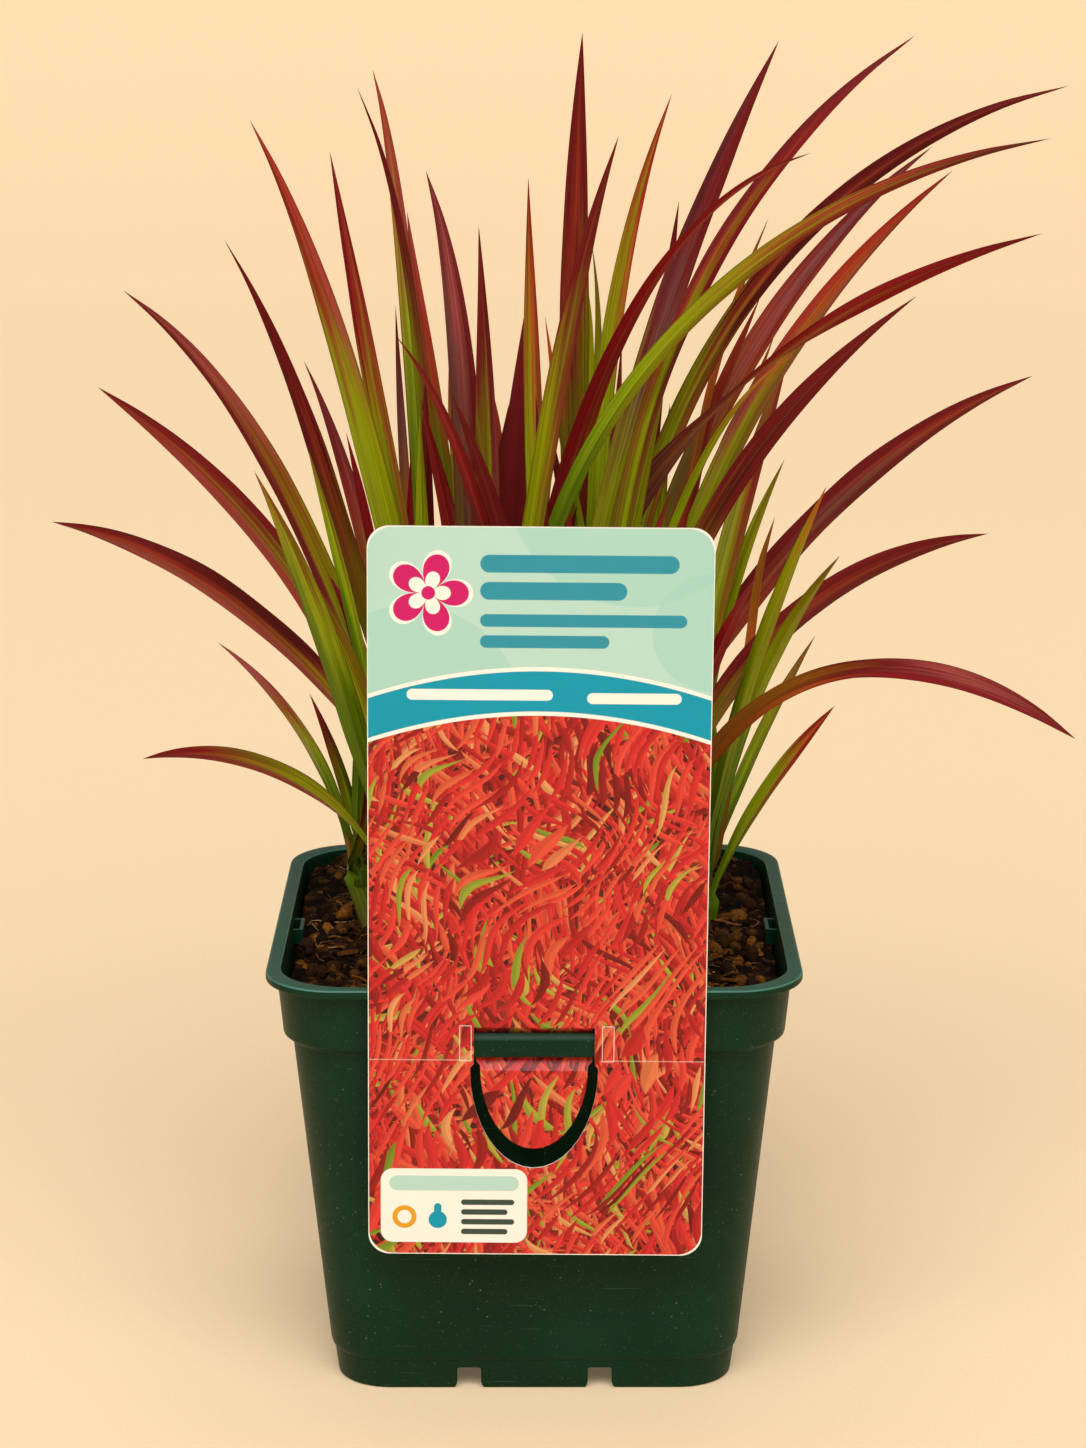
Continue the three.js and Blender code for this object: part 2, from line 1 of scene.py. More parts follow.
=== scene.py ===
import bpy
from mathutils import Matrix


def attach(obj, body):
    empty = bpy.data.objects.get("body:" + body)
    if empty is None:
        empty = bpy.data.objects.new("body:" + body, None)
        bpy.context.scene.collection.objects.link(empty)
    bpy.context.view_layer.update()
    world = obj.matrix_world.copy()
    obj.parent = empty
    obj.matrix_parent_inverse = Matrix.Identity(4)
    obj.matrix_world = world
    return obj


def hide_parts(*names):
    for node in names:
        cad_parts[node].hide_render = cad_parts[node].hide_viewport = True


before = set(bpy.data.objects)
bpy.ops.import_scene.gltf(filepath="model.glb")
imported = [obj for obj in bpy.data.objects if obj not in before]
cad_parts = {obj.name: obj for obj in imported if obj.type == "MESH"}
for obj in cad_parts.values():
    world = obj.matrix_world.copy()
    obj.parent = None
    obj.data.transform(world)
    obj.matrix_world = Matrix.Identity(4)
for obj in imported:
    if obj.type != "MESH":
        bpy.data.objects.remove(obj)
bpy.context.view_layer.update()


# %% [markdown]
# ## Colours and nodes
# Colours are written as hex values, as in a paint program. Blender's nodes work with linear
# light, so one function turns them. A second one adds a node, sets it and links it, which keeps
# each material below as short as its recipe. Two more start a finish and feed its shader.
# %% Colour and node helpers
import math
import random

import bmesh
import bpy
import numpy as np
from mathutils import Vector, noise

MM = 0.001


def paint(code):
    """An sRGB hex colour as linear RGBA."""
    channels = [int(code[i : i + 2], 16) / 255 for i in (1, 3, 5)]
    return (*(c / 12.92 if c <= 0.04045 else ((c + 0.055) / 1.055) ** 2.4 for c in channels), 1.0)


def add(tree, kind, inputs=(), out=0, stops=(), **settings):
    """A node with its settings, colour stops and inputs. Returns one of its output sockets.
    An input is a value, a hex colour or the socket that feeds it; a list fills the first
    inputs in order."""
    node = tree.nodes.new("ShaderNode" + kind)
    for setting, value in settings.items():
        setattr(node, setting, value)
    for number, (place, color) in enumerate([*stops[:1], *stops[-1:], *stops[1:-1]]):
        ramp = node.color_ramp.elements
        stop = ramp[number] if number < 2 else ramp.new(place)
        stop.position, stop.color = place, paint(color)
    for key, value in inputs.items() if isinstance(inputs, dict) else enumerate(inputs):
        if isinstance(value, bpy.types.NodeSocket):
            tree.links.new(value, node.inputs[key])
        elif value is not None:
            node.inputs[key].default_value = paint(value) if isinstance(value, str) else value
    return node.outputs[out]


def feed(shader, **sockets):
    """Sets sockets of a shader to values, or links them. An underscore stands for a space."""
    for key, value in sockets.items():
        socket = shader.inputs[key.replace("_", " ")]
        if isinstance(value, bpy.types.NodeSocket):
            shader.id_data.links.new(value, socket)
        else:
            socket.default_value = value


def new_finish(name, **sockets):
    """A material with its shader's plain sockets set. Returns it, its tree and its shader."""
    made = bpy.data.materials.new(name)
    made.use_nodes = True
    shader = made.node_tree.nodes["Principled BSDF"]
    feed(shader, **sockets)
    return made, made.node_tree, shader


COLOR = {"out": 2, "data_type": "RGBA"}  # a Mix node set to colours: 0 share, 6 under, 7 over
print("white paper is", [round(c, 3) for c in paint("#f4f1e8")])

# %% [markdown]
# ## Pieces
# Every piece is a mesh made from lists of points and faces. It rides on the one body of this
# part, takes the finish it is given and may stand for nodes of the imported model.
# %% Piece helpers
def put(name, data):
    """A new object in the scene."""
    made = bpy.data.objects.new(name, data)
    bpy.context.scene.collection.objects.link(made)
    return made


def smooth(mesh, crease=40):
    """Smooth shading, with sharp edges where the surface turns by more than `crease` degrees."""
    mesh.polygons.foreach_set("use_smooth", [True] * len(mesh.polygons))
    mesh.set_sharp_from_angle(angle=math.radians(crease))


def make_piece(name, points, faces, finish, nodes=(), crease=40):
    """A piece from points in mm and faces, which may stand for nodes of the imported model."""
    mesh = bpy.data.meshes.new(name)
    mesh.from_pydata((np.asarray(points) * MM).tolist(), [], faces)
    smooth(mesh, crease)
    mesh.materials.append(finish)
    made = put(name, mesh)
    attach(made, "root")
    if nodes:
        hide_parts(*nodes)
    return made


def add_values(piece, name, values):
    """One number for each point of a piece, which its material can read."""
    layer = piece.data.attributes.new(name, "FLOAT", "POINT")
    layer.data.foreach_set("value", np.asarray(values, np.float32).ravel())


print(len(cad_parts), "nodes of the packed model to dress")

# %% [markdown]
# ## Camera and light
# The camera stands a little above the rim and looks slightly down, which shows the whole tuft
# and the label. The light is soft and even: a large panel above and before the pot on the left,
# a weaker one on the right, a small one high up behind, and a pale room that fills the shadows.
# %% Camera
IMAGE_TALL, FOCAL_LENGTH = 1448, 3746.5  # in pixels of the finished image
SENSOR = 36  # mm
LOOKS_DOWN = 13.826  # degrees
lens = bpy.data.cameras.new("camera")
lens.sensor_width = SENSOR
lens.lens = SENSOR * FOCAL_LENGTH / IMAGE_TALL
camera = put("camera", lens)
camera.location = (0.0010, -0.91368, 0.38265)
camera.rotation_euler = (math.radians(90 - LOOKS_DOWN), 0, -0.0013)
bpy.context.scene.camera = camera
print(f"lens {lens.lens:.1f} mm")


# %% Light
MIDDLE = Vector((0, 0, 0.15))  # of the object


def add_panel(name, place, size, watts):
    """A square area light that faces the middle of the object."""
    light = bpy.data.lights.new(name, "AREA")
    light.size, light.energy = size, watts
    panel = put(name, light)
    panel.location = place
    panel.rotation_euler = (MIDDLE - Vector(place)).to_track_quat("-Z", "Y").to_euler()


add_panel("key_panel", (-0.7, -1.9, 2.5), 1.9, 50)
add_panel("fill_panel", (0.8, -1.9, 2.4), 1.9, 41)
add_panel("back_panel", (0, 0.75, 1.7), 1.2, 5)
room = bpy.data.worlds.new("room")
room.use_nodes = True
feed(room.node_tree.nodes["Background"], Color=paint("#fff0de"), Strength=0.17)
bpy.context.scene.world = room
bpy.context.scene.view_settings.view_transform = "Standard"
print(len(bpy.data.lights), "panels of light")

# %% [markdown]
# ## Backdrop
# The pot stands on a wide round sheet of peach-coloured paper that curves up all round, so there
# is no horizon from any side. One profile of floor and curve is turned about the pot.
# Paper is matt, with a fibre structure of about a millimetre that shows as a faint mottle. Where
# the panels no longer reach it, the paper glows with its own colour, a painted light that keeps it
# as pale as near the pot.
# %% Paper finish
paper, tree, shader = new_finish("matt_backdrop_paper", Roughness=0.9)
place = add(tree, "TexCoord", out=3)
fibre = add(tree, "TexNoise", {"Vector": place, "Scale": 900.0, "Detail": 2.0})
tint = add(tree, "ValToRGB", [fibre], stops=[(0.3, "#f9dcb2"), (0.7, "#fce1b9")])
# painted light: the paper glows with its own colour, more the further it lies from the pot
reach = add(tree, "VectorMath", [place], out=1, operation="LENGTH")
glow = add(tree, "MapRange", [reach, 0.3, 2.2])
glow = add(tree, "Math", [glow, 0.8], operation="POWER")
glow = add(tree, "Math", [glow, 0.4, 0.13], operation="MULTIPLY_ADD")
deep = add(tree, "SeparateXYZ", [place], out=1)
deep = add(tree, "MapRange", [deep, -1.2, -0.15, 0.1, 1.0])  # the panels do it alone in front
glow = add(tree, "Math", [glow, deep], operation="MULTIPLY")
feed(shader, Base_Color=tint, Emission_Color=tint, Emission_Strength=glow)

# %% Paper sheet
def walls(first, size, rings=2):
    """Faces between closed rings of `size` points, from the point with number `first` on."""
    return [(a, b, b + size, a + size)
            for low in range(first, first + (rings - 1) * size, size)
            for a, b in ((low + k, low + (k + 1) % size) for k in range(size))]


FLAT, BEND = 2.3, 1.1  # radius of the flat floor and of the bend round it, in metres
LAST_TURN, BEND_STEPS, AROUND = math.radians(64), 10, 72
sweep = [(0.3, 0.0), (1.2, 0.0), (FLAT, 0.0)]
for step in range(1, BEND_STEPS + 1):
    turn = LAST_TURN * step / BEND_STEPS
    sweep.append((FLAT + BEND * math.sin(turn), BEND - BEND * math.cos(turn)))
spots = [(0.0, 0.0, 0.0)]
for reach, height in sweep:
    for k in range(AROUND):
        turn = 2 * math.pi * k / AROUND
        spots.append((reach * math.cos(turn), reach * math.sin(turn), height))
panels = [(0, 1 + k, 1 + (k + 1) % AROUND) for k in range(AROUND)]
panels += [face[::-1] for face in walls(1, AROUND, len(sweep))]
sheet = bpy.data.meshes.new("paper_sweep")
sheet.from_pydata(spots, [], panels)
smooth(sheet)
sheet.materials.append(paper)
backdrop = put("paper_sweep", sheet)
print("paper sweep of", len(sheet.polygons), "panels")

# %% [markdown]
# ## The pot's shell
# The real pot is one injection moulding with a rim flange, a collar, a tapered body and a foot
# ring. All its sections are squares with rounded corners, so it could be a box with bevels, but
# its corners grow with its sides. Sweeping one profile through many rounded squares keeps that,
# and every edge of the profile can carry its own small rounding.
# %% Profile and rounded squares
CORNER_SHARE = 0.27  # corner radius as a share of the half side
CORNER_STEPS, SIDE_STEPS = 12, 6


def rounded_square(half):
    """Points of a rounded square, counter-clockwise, in mm."""
    radius = half * CORNER_SHARE
    straight = half - radius
    ring = []
    for quarter in range(4):
        start = quarter * math.pi / 2
        side = Vector((-math.sin(start + math.pi / 2), math.cos(start + math.pi / 2)))
        middle = Vector((math.cos(start + math.pi / 4), math.sin(start + math.pi / 4)))
        middle *= straight * math.sqrt(2)
        for i in range(CORNER_STEPS + 1):
            turn = start + math.pi / 2 * i / CORNER_STEPS
            ring.append(middle + radius * Vector((math.cos(turn), math.sin(turn))))
        last = ring[-1]
        ring += [last + side * 2 * straight * i / SIDE_STEPS for i in range(1, SIDE_STEPS)]
    return ring


def rounded(profile, steps=4):
    """Rounds each corner (half, z, radius) of an open profile with a short arc of points."""
    made = []
    for i, (half, z, radius) in enumerate(profile):
        here = Vector((half, z))
        if radius == 0:
            made.append(here)
            continue
        before, after = (Vector(profile[k][:2]) - here for k in (i - 1, i + 1))
        a, b = here + before.normalized() * radius, here + after.normalized() * radius
        for t in (k / steps for k in range(steps + 1)):
            made.append((1 - t) ** 2 * a + 2 * t * (1 - t) * here + t * t * b)
    return made


profile = rounded([
    (47.7, 6.0, 0), (48.0, 0.0, 0.3), (49.1, 0.0, 0.7), (50.1, 7.9, 0.2), (50.5, 8.2, 0.2),
    (50.9, 9.4, 0.5), (58.9, 90.9, 0.9), (61.0, 92.0, 0.8), (62.3, 105.7, 0.5),
    (64.2, 106.1, 0.3), (65.0, 106.5, 0.4), (65.0, 108.5, 0.8), (61.5, 108.5, 0.6),
    (61.15, 105.0, 0.4), (60.1, 92.2, 0.6), (57.7, 90.1, 0.6), (49.8, 11.2, 0.8),
    (48.2, 7.1, 1.0), (46.0, 7.1, 0),
])
ring_size = len(rounded_square(1.0))
points = [(p.x, p.y, z) for half, z in profile for p in rounded_square(half)]
faces = [tuple(range(ring_size))[::-1], tuple(range(len(points) - ring_size, len(points)))]
faces += walls(0, ring_size, len(profile))
print(len(profile), "rings of", ring_size, "points from the foot to the inner floor")

# %% [markdown]
# The mould's inserts shape the foot notches, the drain holes, the two loops inside the rim and
# the bar that holds the label. They are cut from the shell and joined to it as solids, because
# that gives true edges where they meet the tapered walls.
# %% Solids that cut or join
def prism(outline, low, high, axis=None):
    """An outline drawn out along axis 0 or 1, or straight up where no axis is given."""
    order = {None: (0, 1, 2), 0: (2, 0, 1), 1: (0, 2, 1)}[axis]
    size = len(outline)
    corners = np.array([(a, b, depth) for depth in (low, high) for a, b in outline])[:, order]
    mesh = bpy.data.meshes.new("prism")
    ends = [tuple(range(size)), tuple(range(size, 2 * size))]
    mesh.from_pydata((corners * MM).tolist(), [], walls(0, size) + ends)
    shape = bmesh.new()
    shape.from_mesh(mesh)
    bmesh.ops.recalc_face_normals(shape, faces=shape.faces)
    shape.to_mesh(mesh)
    shape.free()
    return put("prism", mesh)


def combine(piece, tools, operation):
    """Cuts tools from a piece or joins them to it, then removes them."""
    for tool in tools:
        step = piece.modifiers.new("step", "BOOLEAN")
        step.object, step.operation, step.solver = tool, operation, "EXACT"
    graph = bpy.context.evaluated_depsgraph_get()
    made = bpy.data.meshes.new_from_object(piece.evaluated_get(graph))
    piece.modifiers.clear()
    piece.data = made
    for tool in tools:
        bpy.data.objects.remove(tool)


polypropylene, tree, shader = new_finish(
    "moulded_polypropylene", IOR=1.49, Specular_IOR_Level=0.12)
pot = make_piece("pot_moulding", points, faces, polypropylene, ["pot"])
print("bare shell:", len(pot.data.polygons), "faces")

# %% Notches, drain holes, loops and bar
NOTCH_AT, DRAIN_RADIUS, DRAIN_PITCH = 16.2, 4.5, 27  # mm
right_half = [(4.7, -0.5), (3.7, 0.15), (3.2, 0.9), (2.95, 1.9), (2.95, 5.2), (2.8, 5.6),
              (2.4, 5.75)]
outline = right_half + [(-a, z) for a, z in right_half[::-1]]
cuts = []
for middle in (-NOTCH_AT, NOTCH_AT):
    notch = [(middle + a, z) for a, z in outline]
    cuts += [prism(notch, -52, 52, axis) for axis in (0, 1)]
turns = [a * math.pi / 16 for a in range(32)]
circle = [(DRAIN_RADIUS * math.cos(a), DRAIN_RADIUS * math.sin(a)) for a in turns]
for column in (-DRAIN_PITCH, 0, DRAIN_PITCH):
    for row in (-DRAIN_PITCH, 0, DRAIN_PITCH):
        cuts.append(prism([(column + x, row + y) for x, y in circle], 5, 8))
combine(pot, cuts, "DIFFERENCE")

bar = [(-63.0, 92.1), (-63.3, 91.8), (-64.7, 91.8), (-65.0, 92.1), (-65.0, 95.8), (-64.1, 97.3),
       (-63.7, 97.5), (-63.2, 97.5), (-63.0, 97.3)]
post = [(-64.0, 91.95), (-64.0, 97.1), (-60.9, 97.1), (-60.9, 91.95)]
joins = [prism(bar, -17.5, 17.5, 0), prism(post, -17.5, -15.5, 0), prism(post, 15.5, 17.5, 0)]
shelf = [(58.6, 101.7), (58.8, 101.5), (59.5, 101.5), (59.5, 105.5), (58.8, 105.5),
         (58.6, 105.3)]
cheek = [(59.0, 101.6), (61.6, 101.6), (61.6, 105.4), (59.0, 105.4)]
for side in (-1, 1):
    joins.append(prism([(side * x, z) for x, z in shelf], -5, 5, 1))
    joins += [prism([(side * x, z) for x, z in cheek], end, end + 0.9, 1) for end in (-5, 4.1)]
combine(pot, joins, "UNION")
smooth(pot.data, 35)
print("pot moulding:", len(pot.data.polygons), "faces")

# %% [markdown]
# ## Moulded polypropylene
# Polypropylene from a spark-eroded mould is satin, so its highlights are broad. The green is
# nearly black in the shade. Potting leaves pale dust grains and thin scuffs on it. What faces up
# is painted a lighter teal, partly for dust and mostly as a painted highlight, and the roundings
# of the rim carry a painted highlight too. Its index is 1.49.
# %% The pot's plastic
place = add(tree, "TexCoord", out=3)
up = add(tree, "SeparateXYZ", [add(tree, "NewGeometry", out=1)], out=2)
cloud = add(tree, "TexNoise", {"Vector": place, "Scale": 28.0, "Detail": 3.0})
green = add(tree, "ValToRGB", [cloud],
            stops=[(0.3, "#072a18"), (0.5, "#092e1b"), (0.72, "#0e3522")])
# painted highlight: faces that look up get a lighter teal, which also stands for the dust on them
top_dust_and_highlight = add(tree, "MapRange", [up, 0.3, 0.95, 0.0, 0.5])
green = add(tree, "Mix", {0: top_dust_and_highlight, 6: green, 7: "#4c7263"}, **COLOR)
# painted highlight: the roundings of the rim are painted a lighter blue green, broken up by the
# cloud
height = add(tree, "SeparateXYZ", [place], out=2)
rim = add(tree, "MapRange", [height, 0.1052, 0.1062])
slope = add(tree, "Math", [up, 0.62], operation="SUBTRACT")
slope = add(tree, "Math", [slope], operation="ABSOLUTE")
rim_highlight = add(tree, "MapRange", [slope, 0.34, 0.12, 0.0, 0.85])
rim_highlight = add(tree, "Math", [rim_highlight, rim], operation="MULTIPLY")
highlight_break = add(tree, "MapRange", [cloud, 0.35, 0.6, 0.55, 1.0])
rim_highlight = add(tree, "Math", [rim_highlight, highlight_break], operation="MULTIPLY")
green = add(tree, "Mix", {0: rim_highlight, 6: green, 7: "#558c7e"}, **COLOR)
# faint dust grains of about a quarter of a millimetre everywhere, and larger ones in patches
speck = add(tree, "TexVoronoi", {"Vector": place, "Scale": 900.0})
speck = add(tree, "MapRange", [speck, 0.16, 0.08, 0.0, 0.12])
grain = add(tree, "TexVoronoi", {"Vector": place, "Scale": 520.0})
patch = add(tree, "TexNoise", {"Vector": place, "Scale": 90.0, "Detail": 1.0})
dot = add(tree, "MapRange", [grain, 0.13, 0.08, 0.0, 0.8])
patch = add(tree, "MapRange", [patch, 0.5, 0.66, 0.0, 0.55])
dust = add(tree, "Math", [dot, patch], operation="MULTIPLY")
dust = add(tree, "Math", [dust, speck], operation="MAXIMUM")
green = add(tree, "Mix", {0: dust, 6: green, 7: "#93a28c"}, **COLOR)
# hairline scratches in two directions
for turn in (0.5, -0.7):
    lines = add(tree, "Mapping",
                {"Vector": place, "Rotation": (turn, turn, 0.4), "Scale": (60, 2600, 2600)})
    lines = add(tree, "TexNoise", {"Vector": lines, "Scale": 1.0, "Detail": 1.0})
    lines = add(tree, "MapRange", [lines, 0.75, 0.8, 0.0, 0.3])
    green = add(tree, "Mix", {0: lines, 6: green, 7: "#5d7a66"}, **COLOR)
# scuffs: long streaks about a millimetre wide that are a little duller
stretch = add(tree, "Mapping",
              {"Vector": place, "Rotation": (0.3, 0.5, 0.9), "Scale": (12, 900, 900)})
scuff = add(tree, "TexNoise", {"Vector": stretch, "Scale": 1.0, "Detail": 2.0})
scuff = add(tree, "MapRange", [scuff, 0.6, 0.72, 0.0, 0.12])
gloss = add(tree, "MapRange", [cloud, 0.3, 0.7, 0.38, 0.5])
gloss = add(tree, "Math", [gloss, scuff], operation="ADD")
# spark-eroded grain of about 0.1 mm, drawn at 0.7 mm so that it shows
mould = add(tree, "TexNoise", {"Vector": place, "Scale": 1500.0, "Detail": 2.0})
relief = add(tree, "Bump", {"Strength": 0.15, "Distance": 0.0002, "Height": mould})
feed(shader, Base_Color=green, Roughness=gloss, Normal=relief)
print(len(tree.nodes), "nodes in the pot's plastic")

# %% [markdown]
# ## Soil
# Potting compost is a crumbly mix of peat, fine bark and coir. A flat disc with a bump texture
# would look printed, so the surface is a dense grid that is raised into clumps of three sizes,
# and loose crumbs, bark chips and root fibres are laid on it as pieces of their own.
# %% The lie of the soil
SOIL_HALF = 60.0  # mm
SOIL_LEVEL, SOIL_CROWN, SOIL_HEAP = 101.4, 2.0, 6.0  # mm, at the front edge and above it


def square_reach(turn):
    """Distance from the centre to the edge of the unit rounded square in a direction."""
    x, y = abs(math.cos(turn)), abs(math.sin(turn))
    straight = 1 - CORNER_SHARE
    if min(x, y) / max(x, y) <= straight:
        return 1 / max(x, y)
    along = (x + y) * straight
    return along + math.sqrt(along**2 - 2 * straight**2 + CORNER_SHARE**2)


def soil_clump(x, y):
    """How far clumps of 9, 4.5 and 2 mm stand out of the soil here, or lie in it, in mm."""
    rise = 0.25 * noise.noise(Vector((x * 1.3, y * 1.3, 9)))
    for size, part in ((9, 2.2), (4.5, 1.9), (2.1, 1.0)):
        near = noise.voronoi(Vector((x / size, y / size, size)))[0][0]
        rise += part * (0.42 - min(near, 1.0))
    return rise


def soil_height(x, y):
    """Height of the soil in mm: a low crown, heaped at the back, with its clumps."""
    share = math.hypot(x, y) / (SOIL_HALF * square_reach(math.atan2(y, x)))
    height = SOIL_LEVEL + SOIL_CROWN * (1 - share**2) + SOIL_HEAP * max(0.0, y / SOIL_HALF)
    return height + 1.1 * noise.noise(Vector((x / 17, y / 17, 3))) + soil_clump(x, y)


print(f"soil is {soil_height(0, 0):.1f} mm up in the middle, {soil_height(50, 0):.1f} at the side")

# %% Soil surface and body
GRID = 150
BELOW = ((59.4, 93.0), (57.0, 89.5), (49.3, 12.0), (47.0, 7.4))  # half width and height of rings
compost, tree, shader = new_finish("potting_compost", Roughness=0.95, Specular_IOR_Level=0.1)
points, clumps = [], []
for row in range(GRID + 1):
    for column in range(GRID + 1):
        u, v = 2 * column / GRID - 1, 2 * row / GRID - 1
        turn, share = math.atan2(v, u), max(abs(u), abs(v))
        reach = SOIL_HALF * share * square_reach(turn)
        x, y = reach * math.cos(turn), reach * math.sin(turn)
        points.append((x, y, soil_height(x, y)))
        clumps.append(soil_clump(x, y))
side = GRID + 1
faces = [(a, a + 1, a + side + 1, a + side) for a in range(side * GRID) if (a + 1) % side]
edge = [*range(side), *(side * i + GRID for i in range(1, side))]
edge += [side * GRID + i for i in range(GRID - 1, -1, -1)]
edge += [side * i for i in range(GRID - 1, 0, -1)]
size = len(edge)
above = edge
for half, z in BELOW:
    ring = list(range(len(points), len(points) + size))
    points += [(points[i][0] * half / SOIL_HALF, points[i][1] * half / SOIL_HALF, z) for i in edge]
    faces += [(ring[k - 1], ring[k], above[k], above[k - 1]) for k in range(size)]
    above = ring
faces.append(tuple(above[::-1]))
soil = make_piece("soil_bed", points, faces, compost, ["soil"], crease=80)
add_values(soil, "clump", clumps + [0.0] * (len(points) - len(clumps)))
print("soil bed:", len(soil.data.polygons), "faces")

# %% [markdown]
# Compost is matt and very dark when damp. What the eye reads is the change from crumb to crumb,
# so each cell of a 2 mm pattern gets its own brown, and a finer noise breaks it up. The gaps
# between the clumps are painted nearly black, as painted shade in the hollows.
# %% The compost's finish
place = add(tree, "TexCoord", out=3)
crumb = add(tree, "TexVoronoi", {"Vector": place, "Scale": 480.0}, out=1)
shade = add(tree, "SeparateColor", [crumb])
brown = add(tree, "ValToRGB", [shade],
            stops=[(0.0, "#100702"), (0.4, "#2e1806"), (0.75, "#5a340c"), (1.0, "#94601a")])
fine = add(tree, "TexNoise", {"Vector": place, "Scale": 2200.0, "Detail": 3.0})
fine = add(tree, "ValToRGB", [fine], stops=[(0.3, "#8f8f8f"), (0.7, "#ffffff")])
brown = add(tree, "Mix", {0: 1.0, 6: brown, 7: fine}, blend_type="MULTIPLY", **COLOR)
clump = add(tree, "Attribute", attribute_name="clump", out=2)
# painted shade: the low places between the clumps are darkened to nearly black
hollow_shade = add(tree, "MapRange", [clump, 0.5, -0.6, 0.0, 0.88])
brown = add(tree, "Mix", {0: hollow_shade, 6: brown, 7: "#0b0502"}, **COLOR)
rough = add(tree, "TexNoise", {"Vector": place, "Scale": 1400.0, "Detail": 4.0})
relief = add(tree, "Bump", {"Strength": 0.9, "Distance": 0.001, "Height": rough})
feed(shader, Base_Color=brown, Normal=relief)
print(len(tree.nodes), "nodes in the compost")

# %% [markdown]
# Loose bits are what make soil look like soil. Crumbs are small lumps, bark chips are flat
# splinters, root fibres are thin curved threads and coir strands are stiff ones. Each kind is one
# piece made of many closed shapes, and each shape keeps a random number that picks its colour.
# %% Helpers for loose bits
ball = bmesh.new()
bmesh.ops.create_icosphere(ball, subdivisions=2, radius=1)
BALL = np.array([v.co for v in ball.verts])
BALL_FACES = [[v.index for v in f.verts] for f in ball.faces]
ball.free()


def spin(yaw, pitch, roll):
    """Rows of a turning matrix."""
    (cy, sy), (cp, sp), (cr, sr) = ((math.cos(a), math.sin(a)) for a in (yaw, pitch, roll))
    return np.array([[cy * cp, cy * sp * sr - sy * cr, cy * sp * cr + sy * sr],
                     [sy * cp, sy * sp * sr + cy * cr, sy * sp * cr - cy * sr],
                     [-sp, cp * sr, cp * cr]])


def soil_spot(dice, margin=3.0):
    """A random place on the soil, clear of the wall."""
    reach = SOIL_HALF - 2
    while True:
        x, y = dice.uniform(-reach, reach), dice.uniform(-reach, reach)
        if math.hypot(x, y) < (SOIL_HALF - margin) * square_reach(math.atan2(y, x)):
            return x, y


def scatter(name, count, shape, finish, seed):
    """Many closed shapes laid out as one piece, each with its own random shade."""
    dice = random.Random(seed)
    points, faces, shades = [], [], []
    for _ in range(count):
        more, corners = shape(dice)
        faces += [tuple(int(i) + len(points) for i in face) for face in corners]
        points += [tuple(p) for p in more]
        shades += [dice.random()] * len(more)
    made = make_piece(name, points, faces, finish, crease=50)
    add_values(made, "shade", shades)
    print(name, len(made.data.polygons), "faces")


# %% Crumbs and bark chips
def crumb_shape(dice):
    """A lumpy ball of 1 to 5 mm, half sunk."""
    x, y = soil_spot(dice)
    size = 0.55 + 1.9 * dice.random() ** 2
    lump = BALL * [dice.uniform(0.7, 1.2), dice.uniform(0.7, 1.2), dice.uniform(0.6, 0.9)]
    shift = Vector((dice.uniform(0, 90), 0, 0))
    lump = lump * (1 + 0.35 * np.array([[noise.noise(Vector(p) * 1.6 + shift)] for p in BALL]))
    lump = lump @ spin(dice.uniform(0, 6), dice.uniform(0, 3), 0).T * size
    return lump + [x, y, soil_height(x, y) + 0.35 * size], BALL_FACES


SPLINTER = [(-1, -0.5), (-0.6, -0.9), (0.2, -1), (0.9, -0.6), (1, 0.2), (0.5, 0.9), (-0.3, 1),
            (-0.9, 0.5)]


def chip_shape(dice):
    """A flat bark splinter of 4 to 11 mm with blunt, uneven ends."""
    x, y = soil_spot(dice, 7)
    length, width, depth = dice.uniform(2, 5.5), dice.uniform(0.7, 1.8), dice.uniform(0.3, 0.6)
    outline = [(a + dice.uniform(-0.12, 0.12), b * dice.uniform(0.75, 1.1)) for a, b in SPLINTER]
    layers = ((-1, 0.9), (0, 1), (1, 0.88))
    ends = [(a * length * k, b * width * k, d * depth) for d, k in layers for a, b in outline]
    size = len(outline)
    corners = [tuple(range(size))[::-1], tuple(range(2 * size, 3 * size))]
    corners += walls(0, size, len(layers))
    turn = spin(dice.uniform(0, 6.28), dice.uniform(-0.3, 0.3), dice.uniform(-0.4, 0.4))
    return np.array(ends) @ turn.T + [x, y, soil_height(x, y) + 0.7], corners


bark, tree, shader = new_finish("shredded_pine_bark", Roughness=0.85, Specular_IOR_Level=0.15)
shade = add(tree, "Attribute", attribute_name="shade", out=2)
wood = add(tree, "ValToRGB", [shade],
           stops=[(0.0, "#190b03"), (0.4, "#462609"), (0.75, "#764510"), (1.0, "#a8681c")])
place = add(tree, "TexCoord", out=3)
fibre = add(tree, "TexNoise", {"Vector": place, "Scale": 1500.0, "Detail": 3.0})
layers = add(tree, "ValToRGB", [fibre], stops=[(0.3, "#8a8a8a"), (0.7, "#ffffff")])
wood = add(tree, "Mix", {0: 1.0, 6: wood, 7: layers}, blend_type="MULTIPLY", **COLOR)
relief = add(tree, "Bump", {"Strength": 0.5, "Distance": 0.0004, "Height": fibre})
feed(shader, Base_Color=wood, Normal=relief)
scatter("soil_crumbs", 700, crumb_shape, bark, 11)
scatter("bark_chips", 190, chip_shape, bark, 12)


# %% Root fibres
def unit(rows):
    """Rows of numbers, each scaled to length one."""
    return rows / np.maximum(np.linalg.norm(rows, axis=-1, keepdims=True), 1e-9)


